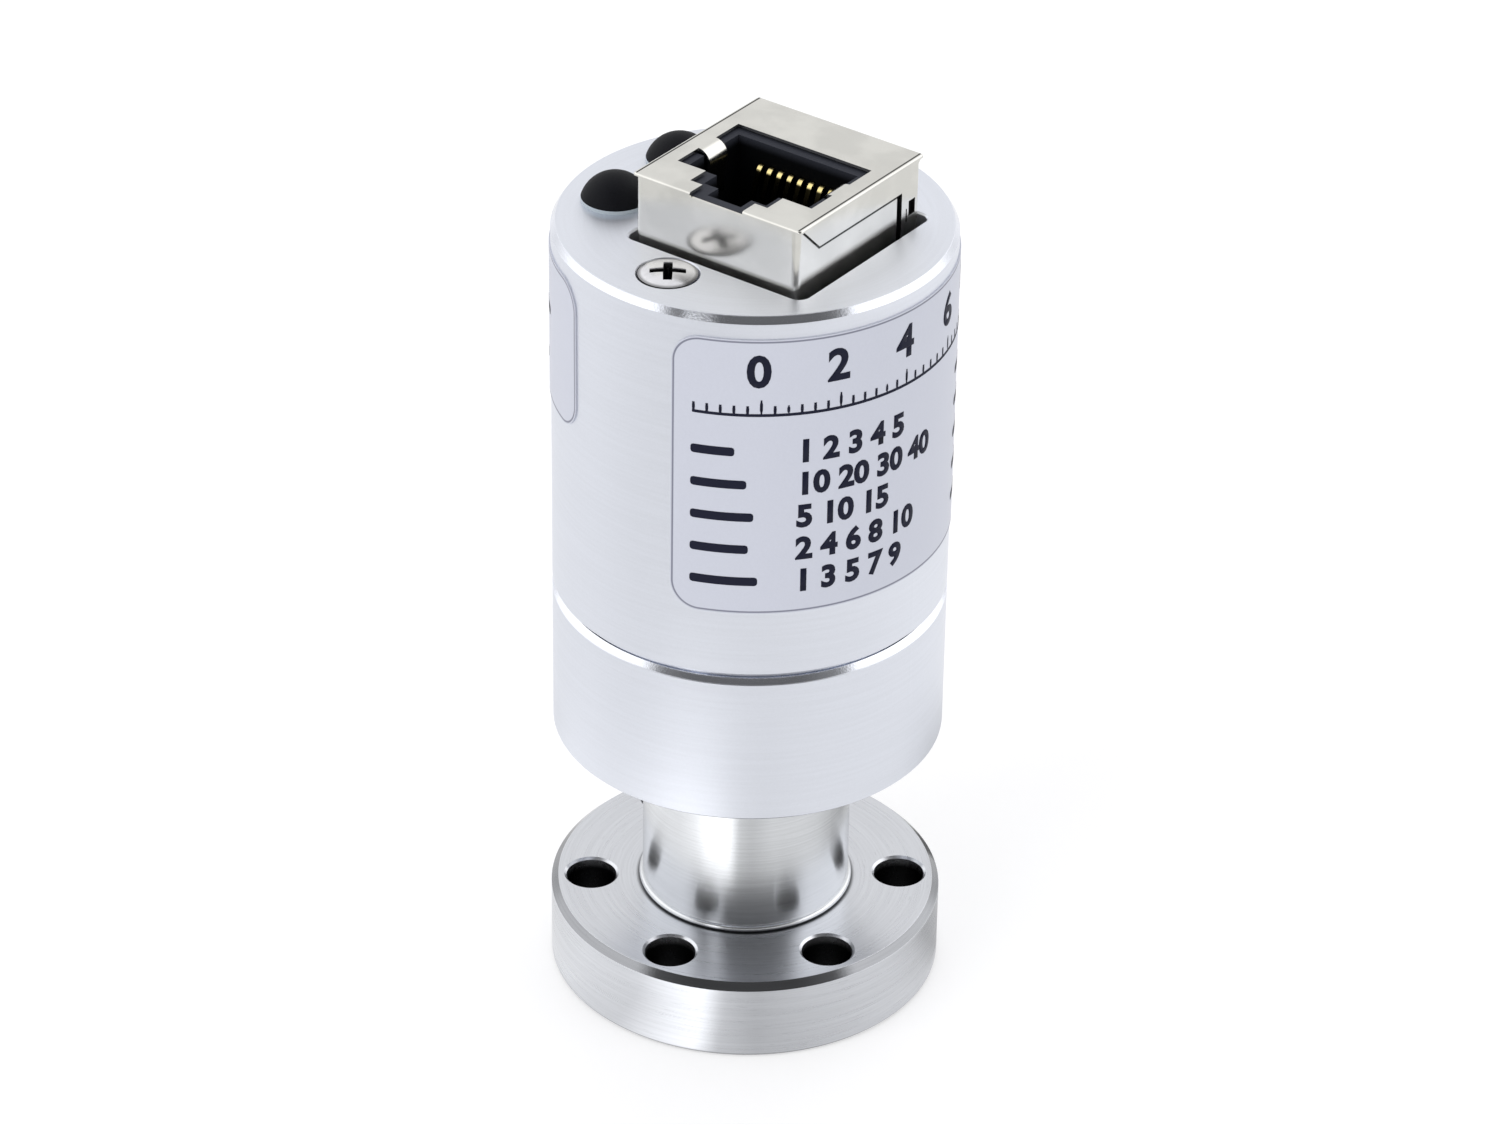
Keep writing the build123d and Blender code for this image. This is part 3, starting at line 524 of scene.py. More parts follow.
@dataclass(frozen=True)
class FoldedSheet(PlatedSheet):
    """The sheet of the jack's shield, with a painted shadow line on the walls round its two folded side
    strips.

    Attributes:
        drop: How far the strips reach down the side walls.
        strip_half: Half the length of a strip along its fold.
        inset: The distance from the outer face of a strip to the wall under it.
        shadow: The width of the dark line round a strip.
        overhang: How far below a strip its shadow reaches before the line ends.
    """

    drop: float = 2.35 * MM
    strip_half: float = 8.25 * MM
    inset: float = 0.3 * MM
    # shadow: The width of the painted shadow line round a strip.
    shadow: float = 0.16 * MM
    overhang: float = 0.36 * MM

    def lined(self, shading: Shading, colour: bpy.types.NodeSocket) -> bpy.types.NodeSocket:
        """Paints a shadow line on the side walls below the strips and along their mitred edges."""
        low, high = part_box("jack_shield")
        across, along, up = shading.axes()
        out = abs(across - (low.x + high.x) / 2)
        back = abs(along - (low.y + high.y) / 2)
        depth = high.z - up
        wall = (high.x - low.x) / 2 - self.inset
        soft = 0.05 * MM
        on_wall = out.over(wall - 2 * soft, wall - soft) * (1 - out.over(wall + soft, wall + 2 * soft))
        mitre = (back + depth - self.strip_half) * math.sqrt(0.5)
        off_strip = (depth - self.drop - self.overhang).math("MAXIMUM", mitre)
        line = 1 - off_strip.over(self.shadow - 2 * soft, self.shadow)
        # Painted shadow of the strip on the wall below it.
        return shading.blend(on_wall * line, colour, shade_of(self.colour, 0.04))


@dataclass(frozen=True)
class CrossHead(PlatedSheet):
    """A plated screw head, with painted shade inside its cross recess and round its edge.

    Attributes:
        reach: The distance of each screw from the middle of the object.
        rim_z: The height of the head's rim.
        radius: The radius of the head.
        crown: The height of its crown over the rim.
        skin: How far below the crown the painted shade of the recess starts.
    """

    reach: float = 11.8 * MM
    rim_z: float = 72.5 * MM
    radius: float = 2.45 * MM
    crown: float = 0.35 * MM
    skin: float = 0.05 * MM

    def lined(self, shading: Shading, colour: bpy.types.NodeSocket) -> bpy.types.NodeSocket:
        """Paints shade on what lies below the crown, and on the last bit of the crown."""
        across, along, up = shading.axes()
        out = abs(along) - self.reach
        share = (across * across + out * out) / self.radius**2
        below = self.rim_z + self.crown - share * self.crown - up
        recess = below.over(self.skin, 3 * self.skin)
        edge = share.over(0.72, 0.95) * 0.7
        # Painted shade in the recess and round the head's edge.
        return shading.blend(recess.math("MAXIMUM", edge), colour, shade_of(self.colour, 0.1))


@dataclass(frozen=True)
class LabelFilm(Finish):
    """Printed film with a painted shadow line just inside its rounded edge.

    Attributes:
        middle: The angle of the label's middle round the axis, in radians.
        middle_z: The height of its middle.
        length: Its length round the housing.
        height: Its height.
        radius: The radius of its outer face.
        corner: The radius of its corners.
        line_inset: How far the line lies from the edge.
        line_width: The width of the line.
        edge_shadow_colour: The colour of the line.
    """

    middle: float = 0.0
    middle_z: float = 0.0
    length: float = 0.0
    height: float = 0.0
    radius: float = 0.0
    corner: float = 2.5 * MM
    line_inset: float = 0.1 * MM
    line_width: float = 0.16 * MM
    edge_shadow_colour: Colour = srgb(122, 124, 140)

    def paint(self, shading: Shading) -> None:
        """Paints the shadow of the label's edge on the film as a thin line."""
        across, along, up = shading.axes(shading.moved(turn=self.middle))
        around = abs(along.math("ARCTAN2", across) * self.radius)
        over = abs(up - self.middle_z)
        out_x = around - (self.length / 2 - self.corner)
        out_z = over - (self.height / 2 - self.corner)
        far_x, far_z = out_x.math("MAXIMUM", 0.0), out_z.math("MAXIMUM", 0.0)
        corner_way = (far_x * far_x + far_z * far_z).math("SQRT")
        inner_way = out_x.math("MAXIMUM", out_z).math("MINIMUM", 0.0)
        from_edge = (corner_way + inner_way - self.corner) * -1.0
        off_line = abs(from_edge - (self.line_inset + self.line_width / 2))
        soft = 0.03 * MM
        line = 1 - off_line.over(self.line_width / 2 - soft, self.line_width / 2 + soft)
        grain = shading.noise(shading.place, self.grain)
        light, dark = shade_of(self.colour, 1 + self.mottle), shade_of(self.colour, 1 - self.mottle)
        film = shading.blend(grain, dark, light)
        shading.set(
            # Painted shadow of the label's edge.
            Base_Color=shading.blend(line, film, self.edge_shadow_colour),
            Roughness=grain * 0.08 + (self.roughness - 0.04),
            Normal=shading.bump(grain, self.grain_depth),
        )


@dataclass(frozen=True)
class BoardLaminate(Finish):
    """Circuit board: solder mask over faint copper tracks.

    Attributes:
        track_pitch: The distance between tracks.
        track_light: How much lighter the mask is over a track.
    """

    track_pitch: float = 0.9 * MM
    track_light: float = 1.5

    def paint(self, shading: Shading) -> None:
        """Draws the tracks under the mask."""
        settings = {"wave_type": "BANDS", "bands_direction": "Y"}
        inputs = {"Vector": shading.place, "Scale": 0.3 / self.track_pitch, "Distortion": 0.0}
        wave = Number(shading, shading.node("ShaderNodeTexWave", settings, inputs).outputs[1])
        region = shading.noise(shading.place, 180.0, 0.0).over(0.48, 0.52)
        tracks = wave.over(0.6, 0.7) * region
        grain = shading.noise(shading.place, self.grain)
        relief = shading.bump(tracks, 25 * MICRON)
        shading.set(
            Base_Color=shading.blend(tracks, self.colour, shade_of(self.colour, self.track_light)),
            Roughness=grain * 0.1 + (self.roughness - 0.05),
            Normal=shading.bump(grain, self.grain_depth, relief),
        )


@dataclass(frozen=True)
class ClearGlass(Finish):
    """Fused or clear glass with faint bubbles.

    Attributes:
        clearness: The share of light that passes.
    """

    clearness: float = 0.5

    def paint(self, shading: Shading) -> None:
        """Mixes the bubbles into the glass."""
        bubble = shading.noise(shading.place, self.grain, 1.0).over(0.6, 0.7)
        shading.set(
            Base_Color=shading.blend(bubble, self.colour, shade_of(self.colour, 1.4)),
            Roughness=bubble * 0.1 + self.roughness,
            Transmission_Weight=self.clearness,
        )


class Metals(Enum):
    """The bare metals of the object."""

    FLANGE_STEEL = BoredFlange(
        "flange_steel", srgb(209, 211, 216), 0.28, rings=5200.0, ring_shade=0.05, ring_rough=0.05,
        scratches=0.3, stretch=0.6,
    )
    NECK_STEEL = TurnedMetal(
        "neck_steel", srgb(212, 214, 217), 0.22, rings=6000.0, ring_shade=0.05, scratches=0.12, stretch=0.8
    )
    HOUSING_ALUMINIUM = SatinHousing(
        "housing_aluminium", srgb(225, 228, 236), 0.42, grain=5200.0, grain_depth=5 * MICRON, mottle=0.1,
        rings=3600.0, ring_depth=1.5 * MICRON, ring_shade=0.016, scratches=0.04, stretch=0.3,
    )
    BASE_STEEL = TurnedMetal("base_steel", srgb(205, 204, 206), 0.32)
    PILLAR_NICKEL = TurnedMetal("pillar_nickel", srgb(200, 197, 190), 0.3, rings=2500.0, stretch=0.0)
    SCREW_STEEL = CrossHead("screw_steel", srgb(222, 222, 226), 0.22, smudges=700.0, wave_depth=4 * MICRON)
    SHIELD_TIN = FoldedSheet("shield_tin", srgb(211, 210, 205), 0.2)
    CONTACT_GOLD = PlatedSheet(
        "contact_gold", srgb(232, 214, 150), 0.22, smudges=900.0, wave_depth=3 * MICRON,
        # Painted shade darkens this gold below the jack's mouth.
        deep_from=75.62 * MM, deep_to=75.35 * MM, deep_share=0.04,
    )
    ROTOR_BRASS = PlatedSheet("rotor_brass", srgb(214, 180, 104), 0.3, smudges=900.0)
    PIN_ALLOY = PlatedSheet("pin_alloy", srgb(206, 200, 184), 0.3, smudges=700.0)
    FILAMENT_WIRE = Finish("filament_wire", srgb(170, 168, 166), 0.35, 1.0)
    CAPACITOR_CAN = PlatedSheet("capacitor_can", srgb(205, 206, 210), 0.35, smudges=500.0)


class Mouldings(Enum):
    """The plastics, rubbers, ceramics and glasses of the object."""

    JACK_PLASTIC = Finish(
        "jack_plastic", srgb(50, 52, 60), 0.55, grain=6000.0, grain_depth=4 * MICRON, mottle=0.12,
        # Painted shade darkens the insert below the rim of the jack's mouth.
        specular=0.1, deep_from=77.8 * MM, deep_to=76.9 * MM, deep_share=0.06,
    )
    PLUG_RUBBER = Finish(
        "plug_rubber", srgb(14, 15, 20), 0.6, grain=4200.0, grain_depth=14 * MICRON, mottle=0.35,
        specular=0.13,
    )
    WASHER_NYLON = Finish("washer_nylon", srgb(190, 201, 210), 0.3, mottle=0.04)
    BOARD_LAMINATE = BoardLaminate("board_laminate", srgb(28, 92, 52), 0.4)
    HEADER_PLASTIC = Finish("header_plastic", srgb(34, 34, 36), 0.5)
    CHIP_PLASTIC = Finish("chip_plastic", srgb(42, 42, 44), 0.6, grain_depth=6 * MICRON)
    TRIMMER_CASE = Finish("trimmer_case", srgb(48, 96, 170), 0.4)
    COIL_FERRITE = Finish("coil_ferrite", srgb(92, 92, 96), 0.7, grain=3000.0, grain_depth=12 * MICRON)
    SLEEVE_CERAMIC = Finish("sleeve_ceramic", srgb(238, 235, 226), 0.6)
    SEAL_GLASS = ClearGlass("seal_glass", srgb(70, 120, 96), 0.12)
    SENSOR_GLASS = ClearGlass("sensor_glass", srgb(205, 130, 70), 0.1)
    PRINT_INK = Finish("print_ink", srgb(26, 28, 46), 0.5, mottle=0.12, specular=0.1)


FINISHED: dict[str, bpy.types.Material] = {}


def finish_of(finish: Finish) -> bpy.types.Material:
    """Gives the material of a finish, which is made once.

    Args:
        finish: The finish.

    Returns:
        Its material.
    """
    if finish.name not in FINISHED:
        FINISHED[finish.name] = finish.build()
    return FINISHED[finish.name]


def give(piece: bpy.types.Object, finish: Finish) -> None:
    """Gives a piece one finish all over."""
    piece.data.materials.clear()
    piece.data.materials.append(finish_of(finish))


def dress(finishes: dict[str, Finish]) -> None:
    """Gives CAD nodes their finishes.

    Args:
        finishes: The finish of each node, by the node's name.
    """
    for node, finish in finishes.items():
        give(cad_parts[node], finish)
        log.info("dressed %s in %s", node, finish.name)


def start_fresh() -> None:
    """Leaves edit mode and deselects everything, so that an operator meets only what is new."""
    if bpy.context.object and bpy.context.object.mode != "OBJECT":
        bpy.ops.object.mode_set(mode="OBJECT")
    bpy.ops.object.select_all(action="DESELECT")


def join(pieces: Iterable[bpy.types.Object], name: str) -> bpy.types.Object:
    """Joins meshes into one piece.

    Args:
        pieces: The meshes.
        name: The name of the piece.

    Returns:
        The joined piece.
    """
    start_fresh()
    chosen = list(pieces)
    for piece in chosen:
        piece.select_set(True)
    bpy.context.view_layer.objects.active = chosen[0]
    if len(chosen) > 1:
        bpy.ops.object.join()
    whole = bpy.context.object
    whole.name = name
    whole.data.name = name
    return whole


def settle(piece: bpy.types.Object) -> None:
    """Moves a piece's place, turn and scale into its mesh."""
    start_fresh()
    piece.select_set(True)
    bpy.context.view_layer.objects.active = piece
    bpy.ops.object.transform_apply(location=True, rotation=True, scale=True)


@dataclass
class LabelPrint:
    """Generic print on a label: a plain number scale and ruled bars.

    It is laid out flat, with x to the right along the label and y up, and the
    origin at the label's top left corner. Then it is wrapped on the label.

    Attributes:
        name: The name of the piece.
        start: The angle of the label's left edge, in radians.
        top_z: The height of its top edge.
        radius: The radius of its outer face.
        ink: The thickness of the print.
        lift: The gap that keeps the print off the film.
        column: The widest that a flat stretch of print may be before it is wrapped.
        marks: The flat marks that are laid out so far.
    """

    name: str
    start: float
    top_z: float
    radius: float
    ink: float = 0.012 * MM
    lift: float = 0.003 * MM
    column: float = 0.8 * MM
    marks: list[bpy.types.Object] = field(default_factory=list)

    def bar(self, left: float, middle: float, length: float, height: float) -> None:
        """Adds a ruled bar with its corners cut.

        Args:
            left: The distance of its left end from the label's left edge.
            middle: The distance of its middle below the label's top edge.
            length: Its length.
            height: Its height.
        """
        start_fresh()
        bpy.ops.mesh.primitive_plane_add(size=1.0, location=(left + length / 2, -middle, 0))
        mark = bpy.context.object
        mark.scale = (length, height, 1.0)
        settle(mark)
        bpy.ops.object.mode_set(mode="EDIT")
        bpy.ops.mesh.select_all(action="SELECT")
        bpy.ops.mesh.bevel(offset=0.3 * height, segments=2, affect="VERTICES")
        bpy.ops.object.mode_set(mode="OBJECT")
        self.marks.append(mark)

    def number(self, text: str, left: float, middle: float, height: float, bold: float = 0.0) -> None:
        """Adds a plain number.

        Args:
            text: The digits.
            left: The distance of its left end from the label's left edge.
            middle: The distance of its middle below the label's top edge.
            height: The height of its digits.
            bold: How much thicker its strokes are made.
        """
        start_fresh()
        digit_share = 0.73
        size = height / digit_share
        bpy.ops.object.text_add(location=(left, -middle - height / 2, 0))
        mark = bpy.context.object
        mark.data.body = text
        mark.data.size = size
        mark.data.offset = bold
        mark.data.resolution_u = 4
        bpy.ops.object.convert(target="MESH")
        settle(mark)
        self.marks.append(mark)

    def wrap(self, body: str, slot: str) -> bpy.types.Object:
        """Joins the marks, cuts them into columns, wraps them and gives them their thickness.

        Args:
            body: The CAD body that the print rides on.
            slot: The record's material slot of the label; not used.

        Returns:
            The finished print.
        """
        print_piece = join(self.marks, self.name)
        self._cut_columns(print_piece)
        outer = self.radius + self.lift
        for vertex in print_piece.data.vertices:
            along, up, _ = vertex.co
            angle = self.start + along / self.radius
            vertex.co = (outer * math.cos(angle), outer * math.sin(angle), self.top_z + up)
        solidify = print_piece.modifiers.new("ink", "SOLIDIFY")
        solidify.thickness = self.ink
        solidify.offset = 1.0
        start_fresh()
        bpy.context.view_layer.objects.active = print_piece
        print_piece.select_set(True)
        bpy.ops.object.modifier_apply(modifier=solidify.name)
        give(print_piece, Mouldings.PRINT_INK.value)
        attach(print_piece, body)
        log.info("printed %s", self.name)
        return print_piece

    def _cut_columns(self, piece: bpy.types.Object) -> None:
        """Cuts the flat print at even steps, so that it can follow the round label."""
        reach = max(vertex.co.x for vertex in piece.data.vertices)
        start_fresh()
        bpy.context.view_layer.objects.active = piece
        piece.select_set(True)
        bpy.ops.object.mode_set(mode="EDIT")
        for step in range(1, math.ceil(reach / self.column)):
            bpy.ops.mesh.select_all(action="SELECT")
            bpy.ops.mesh.bisect(plane_co=(step * self.column, 0, 0), plane_no=(1, 0, 0))
        bpy.ops.object.mode_set(mode="OBJECT")


@dataclass
class VacuumSide:
    """The flange and the neck, turned from stainless steel, and the sensor in the neck."""

    def build(self) -> None:
        """Dresses the steel parts and what stands inside the neck."""
        dress(
            {
                "knife_edge_flange": Metals.FLANGE_STEEL.value,
                "neck_tube": Metals.NECK_STEEL.value,
                "sensor_base": Metals.BASE_STEEL.value,
                "glass_seals": Mouldings.SEAL_GLASS.value,
                "feedthrough_pins": Metals.PIN_ALLOY.value,
                "filament": Metals.FILAMENT_WIRE.value,
                "temperature_sensor": Mouldings.SENSOR_GLASS.value,
                "pin_sleeves": Mouldings.SLEEVE_CERAMIC.value,
            }
        )


@dataclass
class Housing:
    """The two housing parts with their screws, pillars and labels.

    Attributes:
        body: The CAD body that it rides on.
        front_start: The angle of the front label's left edge, in degrees.
        front_length: The length of the front label.
        side_start: The angle of the side label's right edge, in degrees.
        side_length: The length of the side label.
        label_slot: The record's material slot of both labels.
    """

    body: str = "transmitter"
    front_start: float = -76.7
    front_length: float = 50.0 * MM
    side_start: float = -112.6
    side_length: float = 28.0 * MM
    label_slot: str = "label_film"

    def build(self) -> None:
        """Dresses the metal and prints the labels."""
        dress(
            {
                "lower_housing": Metals.HOUSING_ALUMINIUM.value,
                "upper_housing": Metals.HOUSING_ALUMINIUM.value,
                "cover_screw_front": Metals.SCREW_STEEL.value,
                "cover_screw_rear": Metals.SCREW_STEEL.value,
                "pillar_front": Metals.PILLAR_NICKEL.value,
                "pillar_rear": Metals.PILLAR_NICKEL.value,
                "spacer_front": Metals.PILLAR_NICKEL.value,
                "spacer_rear": Metals.PILLAR_NICKEL.value,
            }
        )
        self._label("front_label", self.front_start, self.front_length, 1)
        self._label("side_label", self.side_start, self.side_length, -1)
        self._print_front()
        self._print_side()

    def _face(self, node: str) -> tuple[float, float, float]:
        """The radius, the top and the height of a label, measured on its mesh."""
        low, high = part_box(node)
        radius = max(math.hypot(v.co.x, v.co.y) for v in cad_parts[node].data.vertices)
        return radius, high.z, high.z - low.z

    def _label(self, node: str, start: float, length: float, way: int) -> None:
        """Gives a label its film, with the outline fitted to its size.

        Args:
            node: The label's node.
            start: The angle of its first edge, in degrees.
            length: Its length round the housing.
            way: 1 if it runs on from that edge with rising angles, and -1 if not.
        """
        radius, top, height = self._face(node)
        middle = math.radians(start) + way * length / radius / 2
        film = LabelFilm(
            f"{node}_film", srgb(198, 201, 213), 0.42, grain=5000.0, grain_depth=1.5 * MICRON, mottle=0.03,
            middle=middle, middle_z=top - height / 2, length=length, height=height, radius=radius,
        )
        dress({node: film})

    def _print_front(self) -> None:
        """Prints a number scale and rows of bars on the front label."""
        radius, top, _ = self._face("front_label")
        sheet = LabelPrint("front_label_print", math.radians(self.front_start), top, radius)
        for step, mark in enumerate(("0", "2", "4", "6", "8", "10")):
            sheet.number(mark, (6.2 + 6.6 * step) * MM, 2.75 * MM, 2.9 * MM, 0.12 * MM)
        for step in range(39):
            long = 1.3 if step % 6 == 5 else 0.75
            sheet.bar((1.8 + 1.1 * step) * MM, (6.75 - long / 2) * MM, 0.24 * MM, long * MM)
        sheet.bar(1.8 * MM, 6.85 * MM, 42.04 * MM, 0.26 * MM)
        rows = (
            (3.6, "1 2 3 4 5"),
            (4.6, "10 20 30 40"),
            (5.2, "5 10 15"),
            (4.8, "2 4 6 8 10"),
            (5.6, "1 3 5 7 9"),
        )
        for row, (bar_length, digits) in enumerate(rows):
            middle = (10.3 + 3.05 * row) * MM
            sheet.bar(1.7 * MM, middle, bar_length * MM, 0.8 * MM)
            sheet.number(digits, 10.4 * MM, middle, 2.05 * MM, 0.12 * MM)
            sheet.bar(30.2 * MM, middle, (15.2 - 1.9 * row) * MM, 0.8 * MM)
        sheet.wrap(self.body, self.label_slot)

    def _print_side(self) -> None:
        """Prints plain ruled bars on the side label."""
        radius, top, _ = self._face("side_label")
        left = math.radians(self.side_start) - self.side_length / radius
        sheet = LabelPrint("side_label_print", left, top, radius)
        for row, bar_length in enumerate((15.0, 18.5, 12.0, 16.5)):
            sheet.bar(3.0 * MM, (3.0 + 2.5 * row) * MM, bar_length * MM, 0.8 * MM)
        sheet.wrap(self.body, self.label_slot)


@dataclass
class ModularJack:
    """The shielded jack on its board."""

    def build(self) -> None:
        """Dresses the shield, the insert, the contacts and the board."""
        dress(
            {
                "jack_shield": Metals.SHIELD_TIN.value,
                "jack_insert": Mouldings.JACK_PLASTIC.value,
                "jack_contacts": Metals.CONTACT_GOLD.value,
                "jack_board": Mouldings.BOARD_LAMINATE.value,
            }
        )


@dataclass
class Adjusters:
    """The two trimmers under their rubber plugs."""

    def build(self) -> None:
        """Dresses each adjuster's plug, washer, case and rotor."""
        for side in ("front", "rear"):
            dress(
                {
                    f"adjuster_plug_{side}": Mouldings.PLUG_RUBBER.value,
                    f"plug_washer_{side}": Mouldings.WASHER_NYLON.value,
                    f"trimmer_body_{side}": Mouldings.TRIMMER_CASE.value,
                    f"trimmer_rotor_{side}": Metals.ROTOR_BRASS.value,
                }
            )


@dataclass
class Electronics:
    """The circuit boards inside the housing and what is soldered to them."""

    def build(self) -> None:
        """Dresses the boards, the headers and the parts."""
        dress(
            {
                "main_board": Mouldings.BOARD_LAMINATE.value,
                "sensor_board": Mouldings.BOARD_LAMINATE.value,
                "top_header_block": Mouldings.HEADER_PLASTIC.value,
                "bottom_header_block": Mouldings.HEADER_PLASTIC.value,
                "top_header_pins": Metals.CONTACT_GOLD.value,
                "bottom_header_pins": Metals.CONTACT_GOLD.value,
                "controller_chip": Mouldings.CHIP_PLASTIC.value,
                "amplifier_chips": Mouldings.CHIP_PLASTIC.value,
                "power_coil": Mouldings.COIL_FERRITE.value,
                "capacitors": Metals.CAPACITOR_CAN.value,
            }
        )


@dataclass
class Studio:
    """The floor, the light and the camera.

    Attributes:
        aim: The point that the camera looks at.
        distance: The distance of the camera from that point.
        azimuth: The camera's angle round the object, in degrees.
        elevation: The camera's angle above the horizon, in degrees.
        roll: The camera's turn about its own axis, in radians.
        lens: The focal length, in millimetres on a 36 mm sensor.
        ambient: The strength of the light from all round.
    """

    aim: tuple[float, float, float] = (0.0, 0.0, 39.45 * MM)
    distance: float = 0.4635
    azimuth: float = 36.05
    elevation: float = 31.78
    roll: float = 0.0155
    lens: float = 131.2
    ambient: float = 0.75

    def build(self) -> None:
        """Sets up the whole studio."""
        self._view_settings()
        self._world()
        self._floor()
        self._lamps()
        self._reflectors()
        self._camera()

    def _way(self, azimuth: float, elevation: float) -> Vector:
        """The direction from the object towards an azimuth and elevation, in degrees."""
        turn, rise = math.radians(azimuth), math.radians(elevation)
        return Vector((math.sin(turn) * math.cos(rise), -math.cos(turn) * math.cos(rise), math.sin(rise)))

    def _view_settings(self) -> None:
        """Shows colours as they are."""
        bpy.context.scene.view_settings.view_transform = "Standard"

    def _world(self) -> None:
        """Lights softly from all round, shows white to the camera and a room to reflections.

        The room is pale, with a dark side above the camera, a bright box to each
        side and an upright bright strip between the camera and the left box.
        """
        world = bpy.data.worlds.new("studio_world")
        wiring = Wiring(world)
        path = wiring.node("ShaderNodeLightPath")
        camera, glossy, through = (
            Number(wiring, path.outputs[name])
            for name in ("Is Camera Ray", "Is Glossy Ray", "Is Transmission Ray")
        )
        way = wiring.node("ShaderNodeTexCoord").outputs["Generated"]
        ahead = wiring.split(way)

        def towards(azimuth: float, elevation: float) -> Number:
            """How much the ray's direction points towards a direction."""
            x, y, z = self._way(self.azimuth + azimuth, elevation)
            return ahead[0] * x + ahead[1] * y + ahead[2] * z

        dark_side = towards(2, 52).over(math.cos(math.radians(50)), math.cos(math.radians(38)))
        strip_way = -32
        beside_strip = 1 - abs(towards(strip_way + 90, 0)).over(0.08, 0.16)
        strip = beside_strip * towards(strip_way, 0).over(0.3, 0.5) * (1 - ahead[2].over(0.5, 0.62))
        upright = ahead[2].over(0.0, 0.25) * (1 - ahead[2].over(0.75, 0.9))
        right_box = towards(100, 30).over(0.6, 0.85) * upright * 0.75
        left_box = towards(-100, 30).over(0.6, 0.85) * upright * 0.55
        room = (1.0 + right_box + left_box) * (1 - dark_side * (1 - strip) * 0.85) + strip * 0.9
        white = camera.math("MAXIMUM", through)
        strength = white + (1 - white) * (glossy * room + (1 - glossy) * self.ambient)
        background = wiring.node(
            "ShaderNodeBackground", {}, {"Color": (1.0, 1.0, 1.0, 1.0), "Strength": strength}
        )
        wiring.node("ShaderNodeOutputWorld", {}, {"Surface": background.outputs[0]})
        bpy.context.scene.world = world

    def _floor(self) -> None:
        """Lays a white floor that keeps a faint shadow."""
        start_fresh()
        bpy.ops.mesh.primitive_plane_add(size=8.0, location=(0, 0, -0.02 * MM))
        floor = bpy.context.object
        floor.name = "studio_floor"
        shading = Shading("studio_floor")
        shading.set(
            Base_Color=(0.55, 0.55, 0.56, 1.0),
            Roughness=0.9,
            Specular_IOR_Level=0.0,
            Emission_Color=(1.0, 1.0, 1.0, 1.0),
            Emission_Strength=0.5,
        )
        floor.data.materials.append(shading.material)
        settle(floor)

    def _lamp(
        self, name: str, azimuth: float, elevation: float, reach: float, size: float, power: float
    ) -> None:
        """Adds a soft lamp that faces the object.

        Args:
            name: Its name.
            azimuth: Its angle round the object, in degrees.
            elevation: Its angle above the horizon, in degrees.
            reach: Its distance from the middle of the object.
            size: The side of its square face.
            power: Its power in watts.
        """
        data = bpy.data.lights.new(name, "AREA")
        data.size = size
        data.energy = power
        lamp = bpy.data.objects.new(name, data)
        way = self._way(azimuth, elevation)
        lamp.location = Vector(self.aim) + way * reach
        lamp.rotation_mode = "QUATERNION"
        lamp.rotation_quaternion = way.to_track_quat("Z", "Y")
        lamp.visible_glossy = False
        bpy.context.scene.collection.objects.link(lamp)

    def _lamps(self) -> None:
        """Adds the key, fill and top lamps."""
        self._lamp("key_lamp", self.azimuth - 48, 42, 0.9, 0.6, 2.2)
        self._lamp("fill_lamp", self.azimuth + 65, 35, 1.0, 0.6, 1.0)
        self._lamp("top_lamp", self.azimuth + 170, 60, 0.9, 0.6, 1.2)

    def _reflectors(self) -> None:
        """Lays rings round the foot of the object, which only reflections show."""
        rim_levels = (
            (-180, 0.8), (-100, 0.95), (-70, 1.1), (-52, 1.0), (-42, 0.95), (-24, 1.5), (-15, 1.7),
            (-8, 0.85), (4, 0.67), (26, 0.8), (50, 0.9), (62, 0.92), (76, 0.82), (89, 0.55), (102, 0.6),
            (125, 0.8), (180, 0.8),
        )
        neck_levels = (
            (-180, 0.8), (-135, 0.8), (-110, 1.3), (-69, 1.25), (-50, 1.7), (-36, 2.6), (-18, 2.5),
            (-6, 0.95), (6, 0.8), (26, 1.05), (52, 1.0), (88, 0.85), (102, 0.6), (115, 0.25), (150, 0.2),
            (180, 0.4),
        )
        housing_levels = (
            (-180, 1.0), (-90, 0.98), (-60, 0.86), (-20, 0.78), (0, 0.95), (60, 0.96), (100, 1.04),
            (180, 1.0),
        )
        self._reflector("rim_reflector", 17.3 * MM, 30 * MM, rim_levels)
        self._reflector("neck_reflector", 30 * MM, 48 * MM, neck_levels)
        self._reflector("housing_reflector", 48 * MM, 300 * MM, housing_levels)

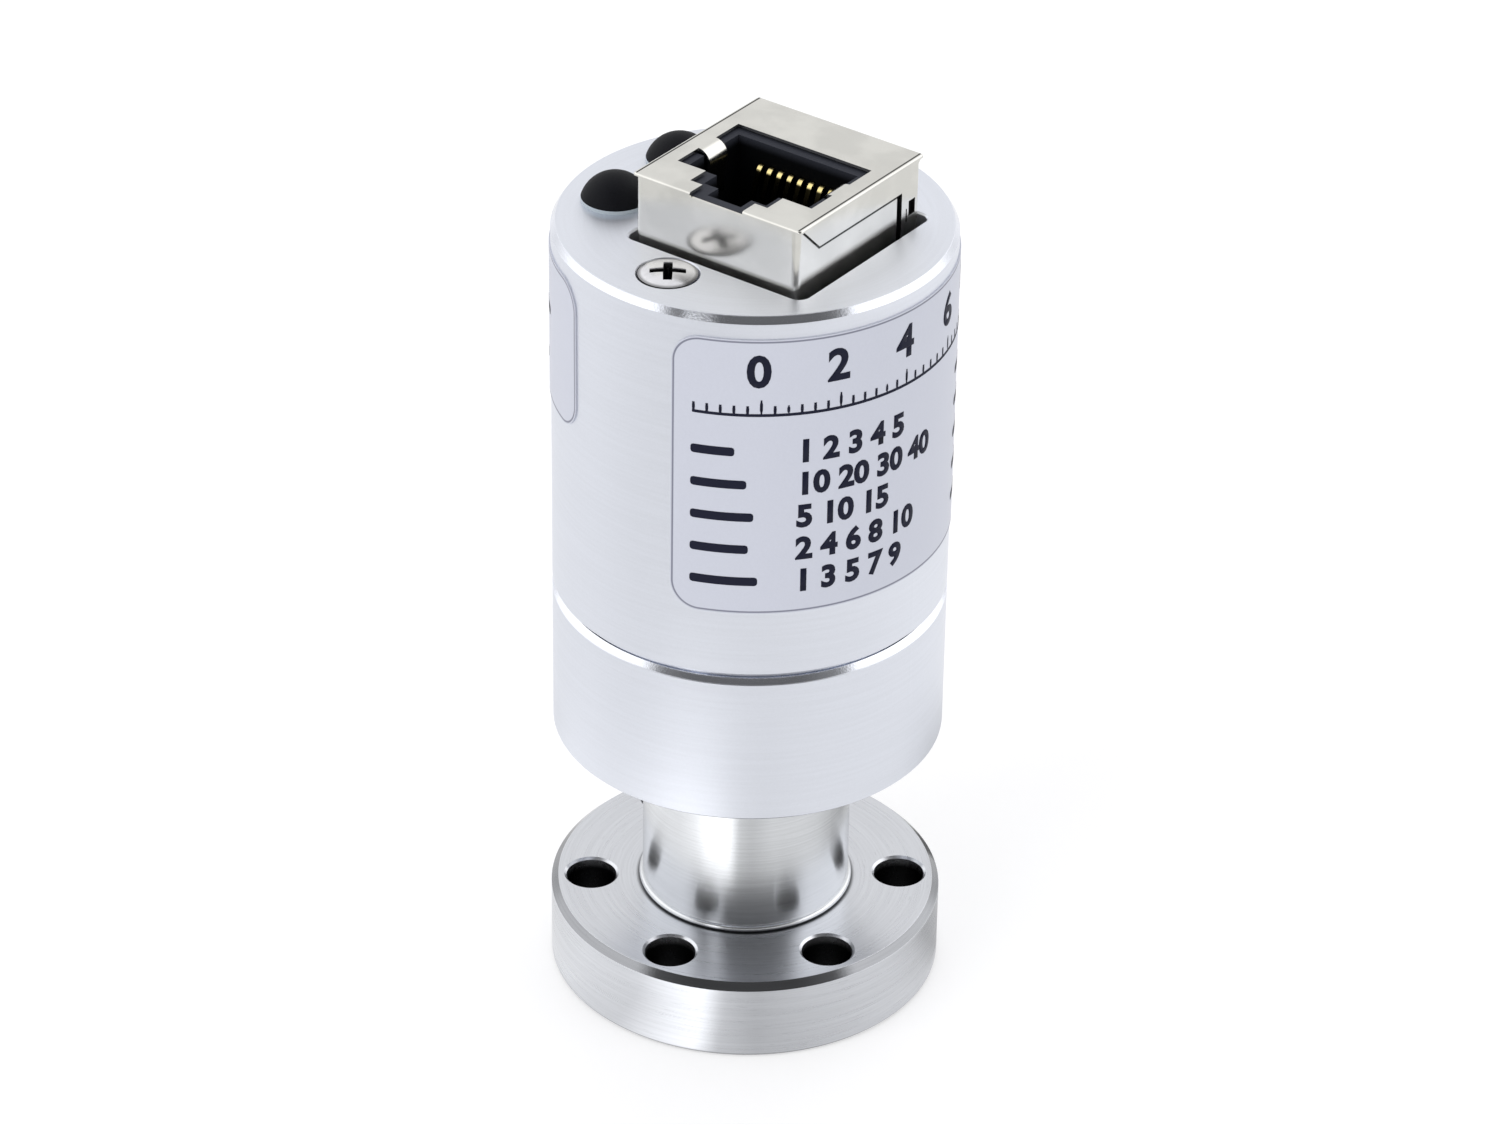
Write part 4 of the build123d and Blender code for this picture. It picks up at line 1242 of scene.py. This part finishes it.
    def _reflector(
        self, name: str, inner: float, outer: float, levels: tuple[tuple[float, float], ...]
    ) -> None:
        """Lays a ring on the floor that shines with a level for each angle.

        Args:
            name: Its name.
            inner: Its inner radius.
            outer: Its outer radius.
            levels: Angles from the camera's side, in degrees, with the light there.
        """
        start_fresh()
        bpy.ops.mesh.primitive_circle_add(vertices=128, radius=inner, location=(0, 0, 0.05 * MM))
        ring = bpy.context.object
        ring.name = name
        bpy.ops.object.mode_set(mode="EDIT")
        bpy.ops.mesh.select_all(action="SELECT")
        bpy.ops.mesh.extrude_edges_move()
        bpy.ops.transform.resize(value=(outer / inner, outer / inner, 1.0))
        bpy.ops.object.mode_set(mode="OBJECT")
        shading = Shading(name)
        across, along, _ = shading.axes(shading.moved(turn=math.radians(self.azimuth - 90)))
        turn = along.math("ARCTAN2", across) / math.tau + 0.5
        peak = 2.6
        stops = [((angle + 180) / 360, (level / peak,) * 3 + (1.0,)) for angle, level in levels]
        ramp = shading.node("ShaderNodeValToRGB", {"stops": stops}, {"Fac": turn})
        shading.set(
            Base_Color=(0.0, 0.0, 0.0, 1.0),
            Specular_IOR_Level=0.0,
            Emission_Color=ramp.outputs[0],
            Emission_Strength=peak,
        )
        ring.data.materials.append(shading.material)
        settle(ring)
        ring.visible_camera = False
        ring.visible_diffuse = False
        ring.visible_transmission = False
        ring.visible_shadow = False

    def _camera(self) -> None:
        """Places the camera at the photograph's angle."""
        data = bpy.data.cameras.new("studio_camera")
        data.lens = self.lens
        data.sensor_width = 36.0
        data.clip_start, data.clip_end = 0.01, 20.0
        camera = bpy.data.objects.new("studio_camera", data)
        back = self._way(self.azimuth, self.elevation)
        turn = math.radians(self.azimuth)
        right = Vector((math.cos(turn), math.sin(turn), 0))
        up = back.cross(right)
        rolled_right = right * math.cos(self.roll) + up * math.sin(self.roll)
        rolled_up = up * math.cos(self.roll) - right * math.sin(self.roll)
        place = Vector(self.aim) + back * self.distance
        axes = Matrix((rolled_right, rolled_up, back)).transposed()
        camera.matrix_world = Matrix.Translation(place) @ axes.to_4x4()
        bpy.context.scene.collection.objects.link(camera)
        bpy.context.scene.camera = camera


def main() -> None:
    """Builds the parts in order and then the studio."""
    logging.basicConfig(level=logging.INFO, format="%(name)s: %(message)s")
    for assembly in (VacuumSide(), Housing(), ModularJack(), Adjusters(), Electronics()):
        assembly.build()
        log.info("built %s", type(assembly).__name__)
    Studio().build()


if __name__ == "__main__":
    main()
